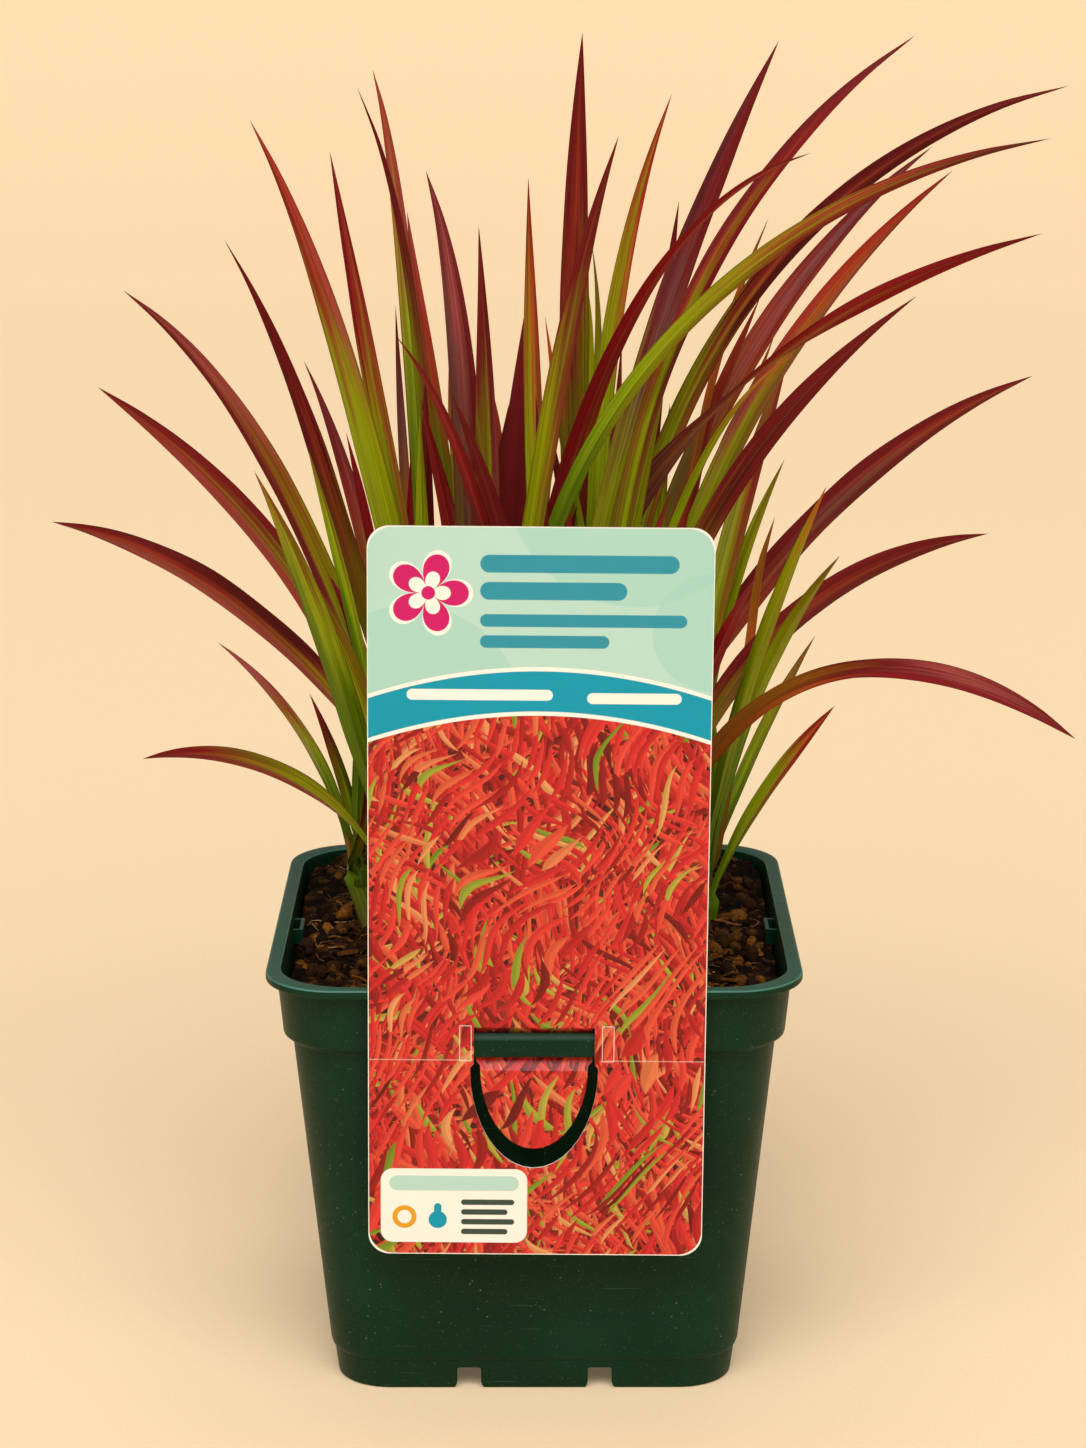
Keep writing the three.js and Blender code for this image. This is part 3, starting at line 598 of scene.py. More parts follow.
def tube(path, radii, sides):
    """Points and faces of a closed tube along a path."""
    path = np.array(path, float)
    way = unit(np.gradient(path, axis=0))
    helper = np.where(np.abs(way[:, 2:3]) < 0.9, [[0, 0, 1.0]], [[1.0, 0, 0]])
    left = unit(np.cross(helper, way))
    top = np.cross(way, left)
    turns = np.arange(sides) * 2 * math.pi / sides
    radii = np.broadcast_to(np.asarray(radii, float), len(path))
    rings = [p + r * (np.outer(np.cos(turns), a) + np.outer(np.sin(turns), b))
             for p, r, a, b in zip(path, radii, left, top)]
    last = (len(path) - 1) * sides
    ends = [tuple(range(sides))[::-1], tuple(range(last, last + sides))]
    return np.concatenate(rings), walls(0, sides, len(path)) + ends


def fibre_shape(dice):
    """A thin curled root, 8 to 26 mm long, that dips in and out of the crumbs."""
    x, y = soil_spot(dice, 12)
    turn, curl, step = dice.uniform(0, 6.28), dice.uniform(-0.22, 0.22), dice.uniform(0.8, 2.2)
    path = []
    for i in range(12):
        path.append((x, y, soil_height(x, y) + 0.25 + 0.5 * math.sin(i * 0.9 + turn)))
        turn += curl + dice.uniform(-0.12, 0.12)
        nx, ny = x + step * math.cos(turn), y + step * math.sin(turn)
        if math.hypot(nx, ny) > (SOIL_HALF - 1.5) * square_reach(math.atan2(ny, nx)):
            turn += 1.6
            nx, ny = x + step * math.cos(turn), y + step * math.sin(turn)
        x, y = nx, ny
    return tube(path, np.linspace(0.28, 0.1, len(path)), 5)


root, tree, shader = new_finish("dry_root_fibre", Roughness=0.75)
shade = add(tree, "Attribute", attribute_name="shade", out=2)
straw = add(tree, "ValToRGB", [shade],
            stops=[(0.0, "#4a2a0e"), (0.6, "#94602a"), (1.0, "#d8a45a")])
place = add(tree, "TexCoord", out=3)
soiled = add(tree, "TexNoise", {"Vector": place, "Scale": 500.0, "Detail": 2.0})
soiled = add(tree, "MapRange", [soiled, 0.45, 0.65, 0.0, 0.6])
straw = add(tree, "Mix", {0: soiled, 6: straw, 7: "#3a2415"}, **COLOR)
feed(shader, Base_Color=straw)
scatter("root_fibres", 230, fibre_shape, root, 13)


# %% Coir strands
def strand_shape(dice):
    """A stiff coir strand of 3 to 8 mm that leans out of the crumbs."""
    x, y = soil_spot(dice, 10)
    length, turn = dice.uniform(3, 8), dice.uniform(0, 6.28)
    lean, bow = dice.uniform(0, 0.45), dice.uniform(-0.6, 0.6)
    path, foot = [], soil_height(x, y) - 0.2
    for t in (0, 0.25, 0.5, 0.75, 1):
        out = length * t
        path.append((x + out * math.cos(turn + bow * t), y + out * math.sin(turn + bow * t),
                     foot + 0.9 * math.sin(3 * t) + lean * out))
    return tube(path, np.linspace(0.42, 0.2, 5), 5)


scatter("coir_strands", 520, strand_shape, bark, 14)

# %% [markdown]
# ## Blades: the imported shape
# A blade of this grass is a strip with a midrib, folded a little along it, that grows out of a
# sheath wrapped round its shoot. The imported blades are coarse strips: rings of four points and
# one tip. Reading each ring back gives the midline, the side direction and the width, and a new
# and finer surface is swept along them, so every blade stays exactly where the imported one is.
# %% Read a packed blade
def shoot_axis(number):
    """Foot and top of a packed shoot, as the middles of its lowest and highest points, in mm."""
    spots = np.array([v.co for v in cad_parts[f"shoot_{number}"].data.vertices]) / MM
    low, high = spots[:, 2].min(), spots[:, 2].max()
    return spots[spots[:, 2] < low + 0.7].mean(0), spots[spots[:, 2] > high - 1.0].mean(0)


def blade_rings(node, foot):
    """Rows of centre, side direction and half width of a packed blade, base first, in mm."""
    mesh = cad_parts[node].data
    keys = {}
    index = [keys.setdefault(tuple(np.round(np.array(v.co) / MM, 3)), len(keys))
             for v in mesh.vertices]
    corner = np.array(list(keys))
    links = [set() for _ in keys]
    for face in mesh.polygons:
        for a in face.vertices:
            links[index[a]] |= {index[b] for b in face.vertices} - {index[a]}
    ends = [i for i, others in enumerate(links) if len(others) == 4]
    tip = max(ends, key=lambda i: np.linalg.norm(corner[i] - foot))
    rings, seen, ring = [], {tip}, sorted(links[tip])
    while ring:
        rings.append(ring)
        seen |= set(ring)
        ring = sorted(set().union(*(links[i] for i in ring)) - seen)
    rows = [[*corner[tip], 0, 0, 0, 0.02]]
    for ring in rings:
        p = corner[ring]
        a, b = max(((0, 1), (0, 2), (0, 3), (1, 2), (1, 3), (2, 3)),
                   key=lambda pair: np.linalg.norm(p[pair[0]] - p[pair[1]]))
        c, d = (k for k in range(4) if k not in (a, b))
        middle, side = (p[c] + p[d]) / 2, p[a] - p[b]
        way = np.array(rows[-1][:3]) - middle
        if np.dot(np.cross(way, side), (p[a] + p[b]) / 2 - middle) < 0:
            side = -side
        width = np.linalg.norm(side)
        rows.append([*middle, *(side / width), width / 2])
    rows[0][3:6] = rows[1][3:6]
    return np.array(rows[::-1])


sample = blade_rings("leaf_6_1", shoot_axis(6)[1])
print("leaf_6_1:", len(sample) - 1, "rings, widest", round(2 * sample[:, 6].max(), 2), "mm")

# %% [markdown]
# ## Blades: the sweep
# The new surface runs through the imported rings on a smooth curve. Below the first ring it goes
# on as the sheath, which curls round the shoot more and more towards the soil. One section does
# for both: an arc that is nearly closed in the sheath and nearly flat in the blade, plus a
# shallow fold along the midrib.
# %% Smooth curves
COLUMNS = (0.0, 0.07, 0.2, 0.4, 0.62, 0.82, 0.95, 1.0)
ACROSS = np.array([-c for c in COLUMNS[:0:-1]] + list(COLUMNS))


def marks_along(path):
    """How far along a path each of its places lies."""
    steps = np.linalg.norm(np.diff(np.asarray(path, float)[:, :3], axis=0), axis=1)
    return np.concatenate([[0], np.cumsum(steps)])


def through(knots, count):
    """A smooth curve through rows whose first three numbers are a place. Returns the rows at
    evenly spaced stations, how far along each of these lies, and how far each knot lies."""
    knots, marks = np.asarray(knots, float), marks_along(knots)
    slopes = np.gradient(knots, marks, axis=0)
    at = np.linspace(0, marks[-1], count)
    i = np.clip(np.searchsorted(marks, at, side="right") - 1, 0, len(marks) - 2)
    gap = (marks[i + 1] - marks[i])[:, None]
    f = (at - marks[i])[:, None] / gap
    rows = (2 * f**3 - 3 * f**2 + 1) * knots[i] + (f**3 - 2 * f**2 + f) * gap * slopes[i]
    rows += (3 * f**2 - 2 * f**3) * knots[i + 1] + (f**3 - f**2) * gap * slopes[i + 1]
    return rows, at, marks


print(len(ACROSS), "columns across a blade")

# %% Faces, lanes and bake map of a blade
TO_LIGHT = (0.0, -0.97, 0.24)
FACING = 0.5  # share of the way that a blade twists to face the light
STRIPS = 4  # a blade's bake map has its length cut into this many strips for each side


def blade_faces(count, wide):
    """Faces of an upper and a lower sheet of count x wide points that share a tip point."""
    upper, lower, rim = [], [], []
    under, tip, last = count * wide, 2 * count * wide, (count - 1) * wide
    for a in (i * wide + k for i in range(count - 1) for k in range(wide - 1)):
        upper.append((a, a + 1, a + wide + 1, a + wide))
        lower.append((a + under, a + under + wide, a + under + wide + 1, a + under + 1))
    for k in range(last, last + wide - 1):
        upper.append((k, k + 1, tip))
        lower.append((k + 1 + under, k + under, tip))
    for a in range(0, last, wide):
        b = a + wide - 1
        rim.append((a, a + wide, a + wide + under, a + under))
        rim.append((b + wide, b, b + under, b + wide + under))
    rim += [(last, tip, last + under), (tip, last + wide - 1, last + wide - 1 + under)]
    rim += [(k + 1, k, k + under, k + 1 + under) for k in range(wide - 1)]
    return upper + lower + rim


def map_blade(made, run, way, side, count, wide):
    """Gives the points their lane and their way along the blade, and the faces their map."""
    left = np.stack([-way[:, 2], 0 * way[:, 2], way[:, 0]], -1)
    sign = -1 if (left * side).sum(1)[run > 0].sum() > 0 else 1
    sheet, tip = count * wide, 2 * count * wide
    along = np.repeat(run[:count], wide)
    add_values(made, "lane", [*np.tile(ACROSS * sign, 2 * count), 0])
    add_values(made, "run", [*along, *along, run[-1]])
    add_values(made, "under", [*np.zeros(sheet), *np.ones(sheet), 0])
    corner = np.zeros(len(made.data.loops), np.int32)
    made.data.loops.foreach_get("vertex_index", corner)
    station = np.where(corner == tip, count, corner % sheet // wide)
    column = np.where(corner == tip, wide // 2, corner % wide)
    starts = np.zeros(len(made.data.polygons), np.int32)
    made.data.polygons.foreach_get("loop_start", starts)
    owner = np.repeat(np.arange(len(starts)), np.diff([*starts, len(corner)]))
    first = np.minimum.reduceat(station, starts)[owner]
    below = np.minimum.reduceat((corner >= sheet).astype(int), starts)[owner]
    per = math.ceil(count / STRIPS)
    u = (station - first // per * per) / per
    v = (first // per * 2 + below + 0.04 + 0.92 * column / (wide - 1)) / (2 * STRIPS)
    layer = made.data.uv_layers.new(name="OFBake")
    layer.data.foreach_set("uv", np.stack([0.01 + 0.98 * u, v], -1).ravel().astype(np.float32))


print(STRIPS * 2, "strips in a blade's map")


# %% Sweep a blade
STATION_GAP, FEWEST, MOST = 2.6, 30, 96  # mm between stations, and how many a blade may have
MARGIN, KEEL = 0.13, 0.34  # mm, thickness at the margins and how far the midrib stands out


def ease(t):
    """A step from 0 to 1 with soft ends."""
    return np.clip(t, 0, 1) ** 2 * (3 - 2 * np.clip(t, 0, 1))


def sweep_blade(name, knots, collar, finish, nodes=(), seed=0, thickness=0.42, turned=()):
    """Sweeps the blade section through knots of place, side direction, half width and curl.
    `collar` is the number of the knot where the sheath ends and the blade starts. `turned` are
    degrees by which a blade turns its edge to the front, at five even places along it."""
    dice = random.Random(seed)
    stations = min(max(marks_along(knots)[-1] / STATION_GAP, FEWEST), MOST)
    rows, at, marks = through(knots, int(stations))
    place, half, curl = rows[:, :3], np.maximum(rows[:, 6:7], 0.03), np.maximum(rows[:, 7:8], 0.03)
    way = unit(np.gradient(place, at, axis=0))
    side = unit(rows[:, 3:6] - way * (rows[:, 3:6] * way).sum(1, keepdims=True))
    run = at - marks[collar]
    share = np.clip(run / run[-1], 0, 1)[:, None]
    # past the collar a blade twists to face the light
    square = unit(np.cross(way, TO_LIGHT))
    square *= np.sign((square * side).sum(1))[len(at) // 2]
    if turned:
        angle = np.radians(np.interp(share, (0, 0.2, 0.4, 0.6, 0.8, 1), (0, *turned)))
        across = np.cross(way, square)
        lean = np.sign((across * side).sum(1))[len(at) // 2]
        square = square * np.cos(angle) + across * np.sin(angle) * lean
    side = side + (square - side) * (1.0 if turned else FACING) * ease(share / 0.12)
    side = unit(side - way * (side * way).sum(1, keepdims=True))
    face = np.cross(way, side)
    u, open_up = ACROSS[None, :], 1 - np.clip(curl, 0, 1)
    # the fold flattens towards the tip, and each margin waves a little on its own
    fold = (0.26 - 0.12 * share) * open_up
    waves = [0.05 * half * np.sin(run[:, None] / dice.uniform(5, 9) + dice.uniform(0, 6))
             for _ in range(2)]
    wave = np.where(u > 0, *waves) * np.abs(u) ** 3 * open_up
    flat = half / curl * np.sin(curl * u)
    rise = half / curl * (1 - np.cos(curl * u)) + wave
    rise = rise + fold * half * (np.sqrt(u**2 + 0.012) - 0.11)
    body = MARGIN + (thickness - MARGIN) * (1 - np.abs(u) ** 1.4)
    body = body * np.minimum(1, 0.35 + half / 1.2)
    keel = KEEL * np.exp(-((u / 0.1) ** 2)) * np.minimum(1, half / 1.5) * (1 - 0.6 * share)
    sheets = []
    for lift in (body / 2, -body / 2 - keel):
        a = flat - lift * np.sin(curl * u)
        b = rise + lift * np.cos(curl * u)
        sheets.append(place[:, None] + a[..., None] * side[:, None] + b[..., None] * face[:, None])
    count, wide = len(place) - 1, len(ACROSS)
    points = np.concatenate([s[:-1].reshape(-1, 3) for s in sheets] + [place[-1:]])
    made = make_piece(name, points, blade_faces(count, wide), finish, nodes, crease=60)
    map_blade(made, run, way, side, count, wide)


# %% [markdown]
# ## Blades: their colour
# The red is a dye, anthocyanin, that the blade makes from its tip downwards and often on one
# side of the midrib first. So each blade has three lanes, left, middle and right, and each lane
# is a ramp of six colours from foot to tip, written as one letter each. The veins run the whole
# length, so the dye's borders are drawn out into streaks along them.
# %% The dyes
DYES = {
    "K": "#560d0e", "M": "#741719", "C": "#8e141a", "V": "#bc3a26", "B": "#9c3422", "R": "#a64a44",
    "P": "#7a4640", "N": "#ca5822", "T": "#9a5c16", "S": "#b0a04c", "O": "#80680c", "Y": "#949604",
    "L": "#9aae06", "G": "#648604", "D": "#405a02",
}
BLADES = {
    "1_1": "GGGOMB GGLOMB GGGOMB", "1_2": "GGSTRR GGLTRR GGYBRR", "1_3": "GMCCMM GOCCCM GBCCCC",
    "2_1": "DGGGLO GGGLLO GGGYOT", "2_2": "OTBBCM GYYTCM GYYOCM", "2_3": "OOBRRC GYYOBM GOOMMM",
    "2_4": "DGGGLT GGGLLT GGGLOB", "3_1": "GGGYBB GGGLTB GGGYBB", "3_2": "GMPTPM GMPTPM GMMTPM",
    "3_3": "GGOBMM GGYBMM GGTMMM", "3_4": "OTCRRM OYTBBM OBKKMM", "3_5": "GOMMMM GGYTRM GGYTRM",
    "3_6": "GGOMMM GGOBMM GGOMMM", "3_7": "GGGYMM GGGOMM GGGOMM", "4_1": "GMMMMM GMMMMM GOKMMM",
    "4_2": "GGOPPM GGOPRM GGMMMM", "4_3": "GGGYCM GGGYBC GGOTCM", "4_4": "GGLLCM GGLLBV GGLYRV",
    "4_5": "GGLOMM GGLYMM GGORMM", "4_6": "GGLYMM GGLYMM GGLTMM", "5_1": "GGGLYO GGGLYO GGGLYO",
    "5_2": "GGGLLY GGGLLY GGGLLY", "5_3": "GGGOBB GGGGBR GGGOVR", "5_4": "GGMCCM GGOCCM GGBRCM",
    "5_5": "GMCCCM GYCCCB GYTCCB", "5_6": "MPPMCM MPPTCM MPPMCM", "6_1": "GGGLBK GGGLTK GGGYBK",
    "6_2": "GGGLYN GGGLYN GGGLYN", "6_3": "GGYMKM GGYPMM GGOPMM", "6_4": "GGLLTM GGLLNM GGYTBM",
    "6_5": "MMMMCM MMMCCM MMMMMM", "7_1": "GGLRVC GGLYNC GGGORC", "7_2": "MMMMMM MTBPBM MMBMMM",
    "7_3": "GGOBMM GGTRPM GGTBMM", "7_4": "GGGBMM GGGMBM GGGOMM", "7_5": "GGLLTC GGLLYV GGLLVC",
    "7_6": "GGLMKM GGLBMM GGTKKM", "8_1": "GOMMMM GGOBMM GGTMMM", "8_2": "GGLYTT GGLYTT GGYTBB",
    "8_3": "GGOBMM GGLYCM GGOMCM", "8_4": "GOCCCC GOCCCC GOCCCC", "8_5": "TTTMRM TTTMRM TTNCCM",
    "8_6": "GOOMMM GOOKMM GOOMMM", "9_1": "DGGLLO DGGLYO DGGLYO", "9_2": "DGGYOT GGLYTB DGGYOT",
    "9_3": "DGGLLN GGLLLN GGLYLN", "9_4": "DGGLYO DGGLYO DGGLYO", "9_5": "GGLLBC GLLYNC GGOBCC",
}
print(len(BLADES), "blades with", len(DYES), "dyes")


# %% [markdown]
# The leaf skin is a thin wax over parallel veins. It gives a soft sheen that breaks into fine
# lines along the blade. The veins of the real blade lie about 0.4 mm apart. They are drawn as
# uneven lines that lie a little further apart, so that they show.
# %% The leaf skin
def leaf_skin(name, words, length, half, seed):
    """The finish of one blade. `words` are its three lanes of dye letters."""
    made, tree, shader = new_finish(name, IOR=1.42, Specular_IOR_Level=0.14)
    run, lane, under = (add(tree, "Attribute", attribute_name=value, out=2)
                        for value in ("run", "lane", "under"))
    across = add(tree, "Math", [lane, half], operation="MULTIPLY")

    def drawn_out(per_mm_along, per_mm_across, shift, detail):
        """A noise that is drawn out along the blade."""
        along = add(tree, "Math", [run, per_mm_along], operation="MULTIPLY")
        sideways = add(tree, "Math", [across, per_mm_across], operation="MULTIPLY")
        spot = add(tree, "CombineXYZ", [along, sideways, shift])
        return add(tree, "TexNoise",
                   {"Vector": spot, "Scale": 1.0, "Detail": detail, "Roughness": 0.6})

    # streaks of dye: 45 mm long, 0.9 mm wide
    streak = drawn_out(1 / 45, 1.1, seed * 7.3, 3.0)
    drift = add(tree, "MapRange", [streak, 0.25, 0.75, -0.14, 0.14])
    share = add(tree, "Math", [run, 1 / length], operation="MULTIPLY")
    share = add(tree, "Math", [share, drift], operation="ADD")
    lanes = [add(tree, "ValToRGB", [share], stops=[(0.2 * k, DYES[word[k]]) for k in range(6)])
             for word in words.split()]
    wander = add(tree, "MapRange", [streak, 0.3, 0.7, -0.2, 0.2])
    column = add(tree, "Math", [lane, wander], operation="ADD")
    to_middle = add(tree, "MapRange", [column, -0.5, -0.1])
    to_right = add(tree, "MapRange", [column, 0.1, 0.5])
    color = add(tree, "Mix", {0: to_middle, 6: lanes[0], 7: lanes[1]}, **COLOR)
    color = add(tree, "Mix", {0: to_right, 6: color, 7: lanes[2]}, **COLOR)
    # veins
    vein = drawn_out(1 / 70, 3.4, seed * 3.1, 2.0)
    lines = add(tree, "ValToRGB", [vein],
                stops=[(0.3, "#bcb6b2"), (0.5, "#e6e2e0"), (0.68, "#ffffff")])
    color = add(tree, "Mix", {0: 1.0, 6: color, 7: lines}, blend_type="MULTIPLY", **COLOR)
    # the midrib is a little paler from below, and the margins are dark red
    off = add(tree, "Math", [lane], operation="ABSOLUTE")
    rib = add(tree, "MapRange", [off, 0.12, 0.03, 0.0, 0.06])
    rib = add(tree, "Math", [rib, under], operation="MULTIPLY")
    color = add(tree, "Mix", {0: rib, 6: color, 7: "#b09a4a"}, **COLOR)
    edge = add(tree, "MapRange", [off, 0.86, 0.97, 0.0, 0.45])
    color = add(tree, "Mix", {0: edge, 6: color, 7: "#5a1c12"}, **COLOR)
    # the sheath turns to straw towards the soil
    low = add(tree, "MapRange", [run, -4.0, -20.0, 0.0, 0.75])
    color = add(tree, "Mix", {0: low, 6: color, 7: "#8a6a40"}, **COLOR)
    sheen = add(tree, "MapRange", [vein, 0.3, 0.7, 0.42, 0.56])
    relief = add(tree, "Bump", {"Strength": 0.35, "Distance": 0.0002, "Height": vein})
    feed(shader, Base_Color=color, Roughness=sheen, Normal=relief)
    return made


# %% Sheaths
SHEATH_FOOT = 98.5  # mm above the ground, just under the soil
CURLS = (1.0, 0.5, 0.28, 0.18)  # of the first knots past the sheath, and of all after them


def sheath_knots(shoot, base, order):
    """Knots of a sheath from the soil to the shoot's top, on the side of the leaf's base."""
    low, high = shoot
    axis = unit(high - low)
    out = unit(base - (low + axis * np.dot(base - low, axis)))
    side = np.cross(-out, axis)
    radius = 2.5 + 0.17 * order  # each next sheath lies round the ones before it
    rows = []
    for share, curl in ((0.0, 2.3), (0.35, 2.2), (0.7, 1.9), (0.93, 1.5)):
        z = SHEATH_FOOT + (high[2] - SHEATH_FOOT) * share
        spot = low + axis * (z - low[2]) / axis[2] + out * radius
        rows.append([*spot, *side, radius * curl, curl])
    return rows


# %% Grow the forty-eight blades
FULLER = 1.12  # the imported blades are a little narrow, to stay clear of each other
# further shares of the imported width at 0.35, 0.6, 0.8 and 1 of a blade's length
WIDTHS = {
    "1_1": (1, 0.85, 0.68, 0.6), "1_2": (1.1, 0.9, 0.8, 0.75), "2_2": (1.1, 1.1, 0.95, 0.9),
    "2_3": (0.95, 0.9, 0.95, 1.1), "2_4": (1.1, 1, 0.85, 0.6), "3_3": (1, 0.9, 0.8, 0.6),
    "3_4": (1.2, 1.15, 1.08, 1), "3_5": (0.92, 0.82, 0.76, 0.9), "3_6": (1.1, 1, 0.82, 0.55),
    "4_1": (1.2, 1.2, 1.12, 1.05), "4_2": (1.05, 1.1, 1.1, 1.1), "4_4": (1, 0.9, 0.78, 0.68),
    "4_5": (1.2, 1.45, 1.2, 1), "4_6": (1.2, 1.25, 1.3, 1.2), "5_3": (1, 1.05, 1.1, 1.1),
    "5_5": (0.85, 0.52, 0.38, 0.5), "5_6": (1.5, 0.36, 0.85, 1),
    "6_1": (0.8, 0.8, 0.95, 1.05), "6_3": (1.1, 1.2, 1.38, 1.4), "6_4": (0.95, 0.85, 0.88, 0.7),
    "6_5": (0.9, 0.8, 0.68, 0.55), "7_2": (1.1, 1, 1, 0.95), "7_3": (1.15, 1.2, 1.15, 1),
    "7_4": (1, 1, 1.05, 1.15), "7_6": (0.88, 0.76, 0.85, 0.9), "8_1": (1.3, 1.2, 1.2, 1.25),
    "8_3": (1.15, 1.3, 1.5, 1.8), "8_5": (0.75, 0.75, 0.85, 1.1), "8_6": (1.1, 1.15, 1.2, 1.1),
    "9_1": (1.1, 1.15, 1.15, 1.1), "9_2": (0.9, 0.85, 0.75, 0.65), "9_3": (0.9, 0.85, 0.75, 0.8),
    "9_5": (0.8, 0.85, 0.9, 0.9),
}
# degrees by which three blades turn their edge to the front, at five places along them
TURNED = {"5_5": (0, 5, 30, 54, 50), "5_6": (0, 12, 74, 12, 0), "8_5": (30, 50, 50, 25, 0)}
shoots = {k: shoot_axis(k) for k in range(1, 10)}
for key, words in BLADES.items():
    number, order = (int(part) for part in key.split("_"))
    node = "leaf_" + key
    rings = blade_rings(node, shoots[number][1])
    widest = rings[:, 6].max()
    marks = marks_along(rings)
    length = marks[-1]
    fuller = FULLER * np.interp(marks / length, (0, 0.35, 0.6, 0.8, 1),
                                (1, *WIDTHS.get(key, (1, 1, 1, 1))))
    knots = sheath_knots(shoots[number], rings[0, :3], order)
    collar = len(knots)
    for i, row in enumerate(rings):
        # wide enough at first to go over into the sheath
        least = (2.3, 0.35 * widest + 0.9, 0.3 * widest + 0.6)[i] if i < 3 else 0.0
        knots.append([*row[:6], max(fuller[i] * row[6], least), CURLS[min(i, 3)]])
    skin = leaf_skin(f"waxy_leaf_skin_{key}", words, length, widest, number * 8 + order)
    sweep_blade(f"blade_{key}", knots, collar, skin, [node], number * 31 + order,
                turned=TURNED.get(key, ()))
print(len(BLADES), "blades grown")

# %% [markdown]
# ## Shoots
# In the middle of each shoot the youngest leaf is still rolled into a spear. It closes the
# bundle of sheaths and ends in a point a little above them.
# %% Rolled young leaves
SPEAR_FOOT = 96.0  # mm above the ground, in the soil
SPEAR = [2.3, 2.35, 2.4, 2.4, 2.35, 2.3, 2.2, 2.05, 1.85, 1.6, 1.3, 0.95, 0.55, 0.08]  # radii, mm
rolled, tree, shader = new_finish(
    "rolled_young_leaf", Roughness=0.48, IOR=1.42, Specular_IOR_Level=0.14)
place = add(tree, "TexCoord", out=3)
veins = add(tree, "Mapping", {"Vector": place, "Scale": (1500, 1500, 18)})
veins = add(tree, "TexNoise", {"Vector": veins, "Scale": 1.0, "Detail": 2.0})
height = add(tree, "SeparateXYZ", [place], out=2)
height = add(tree, "MapRange", [height, 0.100, 0.135])
leaf = add(tree, "ValToRGB", [height],
           stops=[(0.0, "#8a6a40"), (0.35, "#6f7a1c"), (0.7, "#8a6a1e"), (1.0, "#7d1018")])
lines = add(tree, "ValToRGB", [veins], stops=[(0.3, "#a8a8a8"), (0.7, "#ffffff")])
leaf = add(tree, "Mix", {0: 1.0, 6: leaf, 7: lines}, blend_type="MULTIPLY", **COLOR)
relief = add(tree, "Bump", {"Strength": 0.3, "Distance": 0.0002, "Height": veins})
feed(shader, Base_Color=leaf, Normal=relief)
for number, (low, high) in shoots.items():
    axis = unit(high - low)
    start = low + axis * (SPEAR_FOOT - low[2])
    span = np.linalg.norm(high - start) + 7 + 3 * (number % 3)  # 7 to 13 mm past the sheaths
    path = [start + axis * span * t + np.array([0.5, 0.3, 0]) * t**3
            for t in np.linspace(0, 1, len(SPEAR))]
    points, faces = tube(path, SPEAR, 16)
    make_piece(f"rolled_leaf_{number}", points, faces, rolled, [f"shoot_{number}"])
print(len(shoots), "rolled leaves")

# %% [markdown]
# ## Small blades
# Between the large blades stand smaller and half hidden ones. They are swept in the same way,
# through a few points that start in the top of their shoot.
# %% Small blades
SHOOT_RADIUS = 2.1  # mm
SMALL = {  # shoot, width and dyes, then places from the tip down, in mm
    "1": (5, 2.2, "NNTNNN", (2.7, 12, 259.2), (4.9, 12, 240.5)),
    "2": (7, 2.8, "TTTBBB", (22.2, 30, 250.5), (20.6, 30, 224.9), (17.8, 30, 202.4)),
    "3": (7, 2.5, "OBMMMM", (17.6, 34, 222.9), (16.1, 34, 202.1)),
    "4": (3, 2.2, "GOCCCC", (-31.4, 30, 223.1), (-31.8, 30, 202.4)),
    "5": (5, 3.6, "OOOBBB", (-12.3, 32, 243.8), (-9.8, 32, 227.1), (-9.8, 32, 202.5)),
    "6": (3, 2.8, "GGGLTB", (-21.2, 38, 259.6), (-20.8, 38, 231.3), (-19.5, 38, 201.4)),
    "7": (3, 2.6, "GOCCCC", (-47.9, 30, 227), (-44.5, 30, 212), (-41.6, 30, 197.7)),
    "8": (9, 2.4, "OTTNTT", (61, 20, 207.1), (57.8, 20, 195.7)),
    "9": (7, 3.2, "OBCCMM", (36.2, 26, 286.1), (34.8, 26, 274.9), (33.1, 26, 261.1)),
    "10": (8, 3.2, "GOBBBB", (41.1, 10, 221.9), (36.8, 10, 206.2)),
    "11": (7, 2.0, "NTNTNT", (59.9, 45, 279.9), (54, 45, 265.1), (46, 40, 240)),
    "12": (7, 3.2, "TBBBBB", (57.9, 42, 260.1), (49.7, 42, 241), (45.5, 42, 230.7)),
    "13": (7, 2.2, "NTNTNT", (61.9, 46, 249.8), (57.4, 46, 238.1), (49, 42, 222)),
}


def blade_knots(shoot, path, widest, order, blunt=1.8):
    """Knots of sheath and blade for a path of places that leaves a shoot's top, base first. The
    blade tapers later where `blunt` is larger."""
    path = np.array(path, float)
    knots = sheath_knots(shoot, path[0], order)
    collar = len(knots)
    marks = marks_along(path)
    for i, (place, at) in enumerate(zip(path, marks / marks[-1])):
        way = path[min(i + 1, len(path) - 1)] - path[max(i - 1, 0)]
        side = unit(np.cross(way, TO_LIGHT))
        side *= math.copysign(1, np.dot(side, knots[0][3:6]))
        taper = 1 - np.clip((at - 0.6) / 0.4, 0, 1) ** blunt
        half = widest / 2 * (0.45 + 0.55 * ease(at / 0.4)) * taper
        knots.append([*place, *side, max(half, 0.02), CURLS[min(i, 3)]])
    return knots, collar


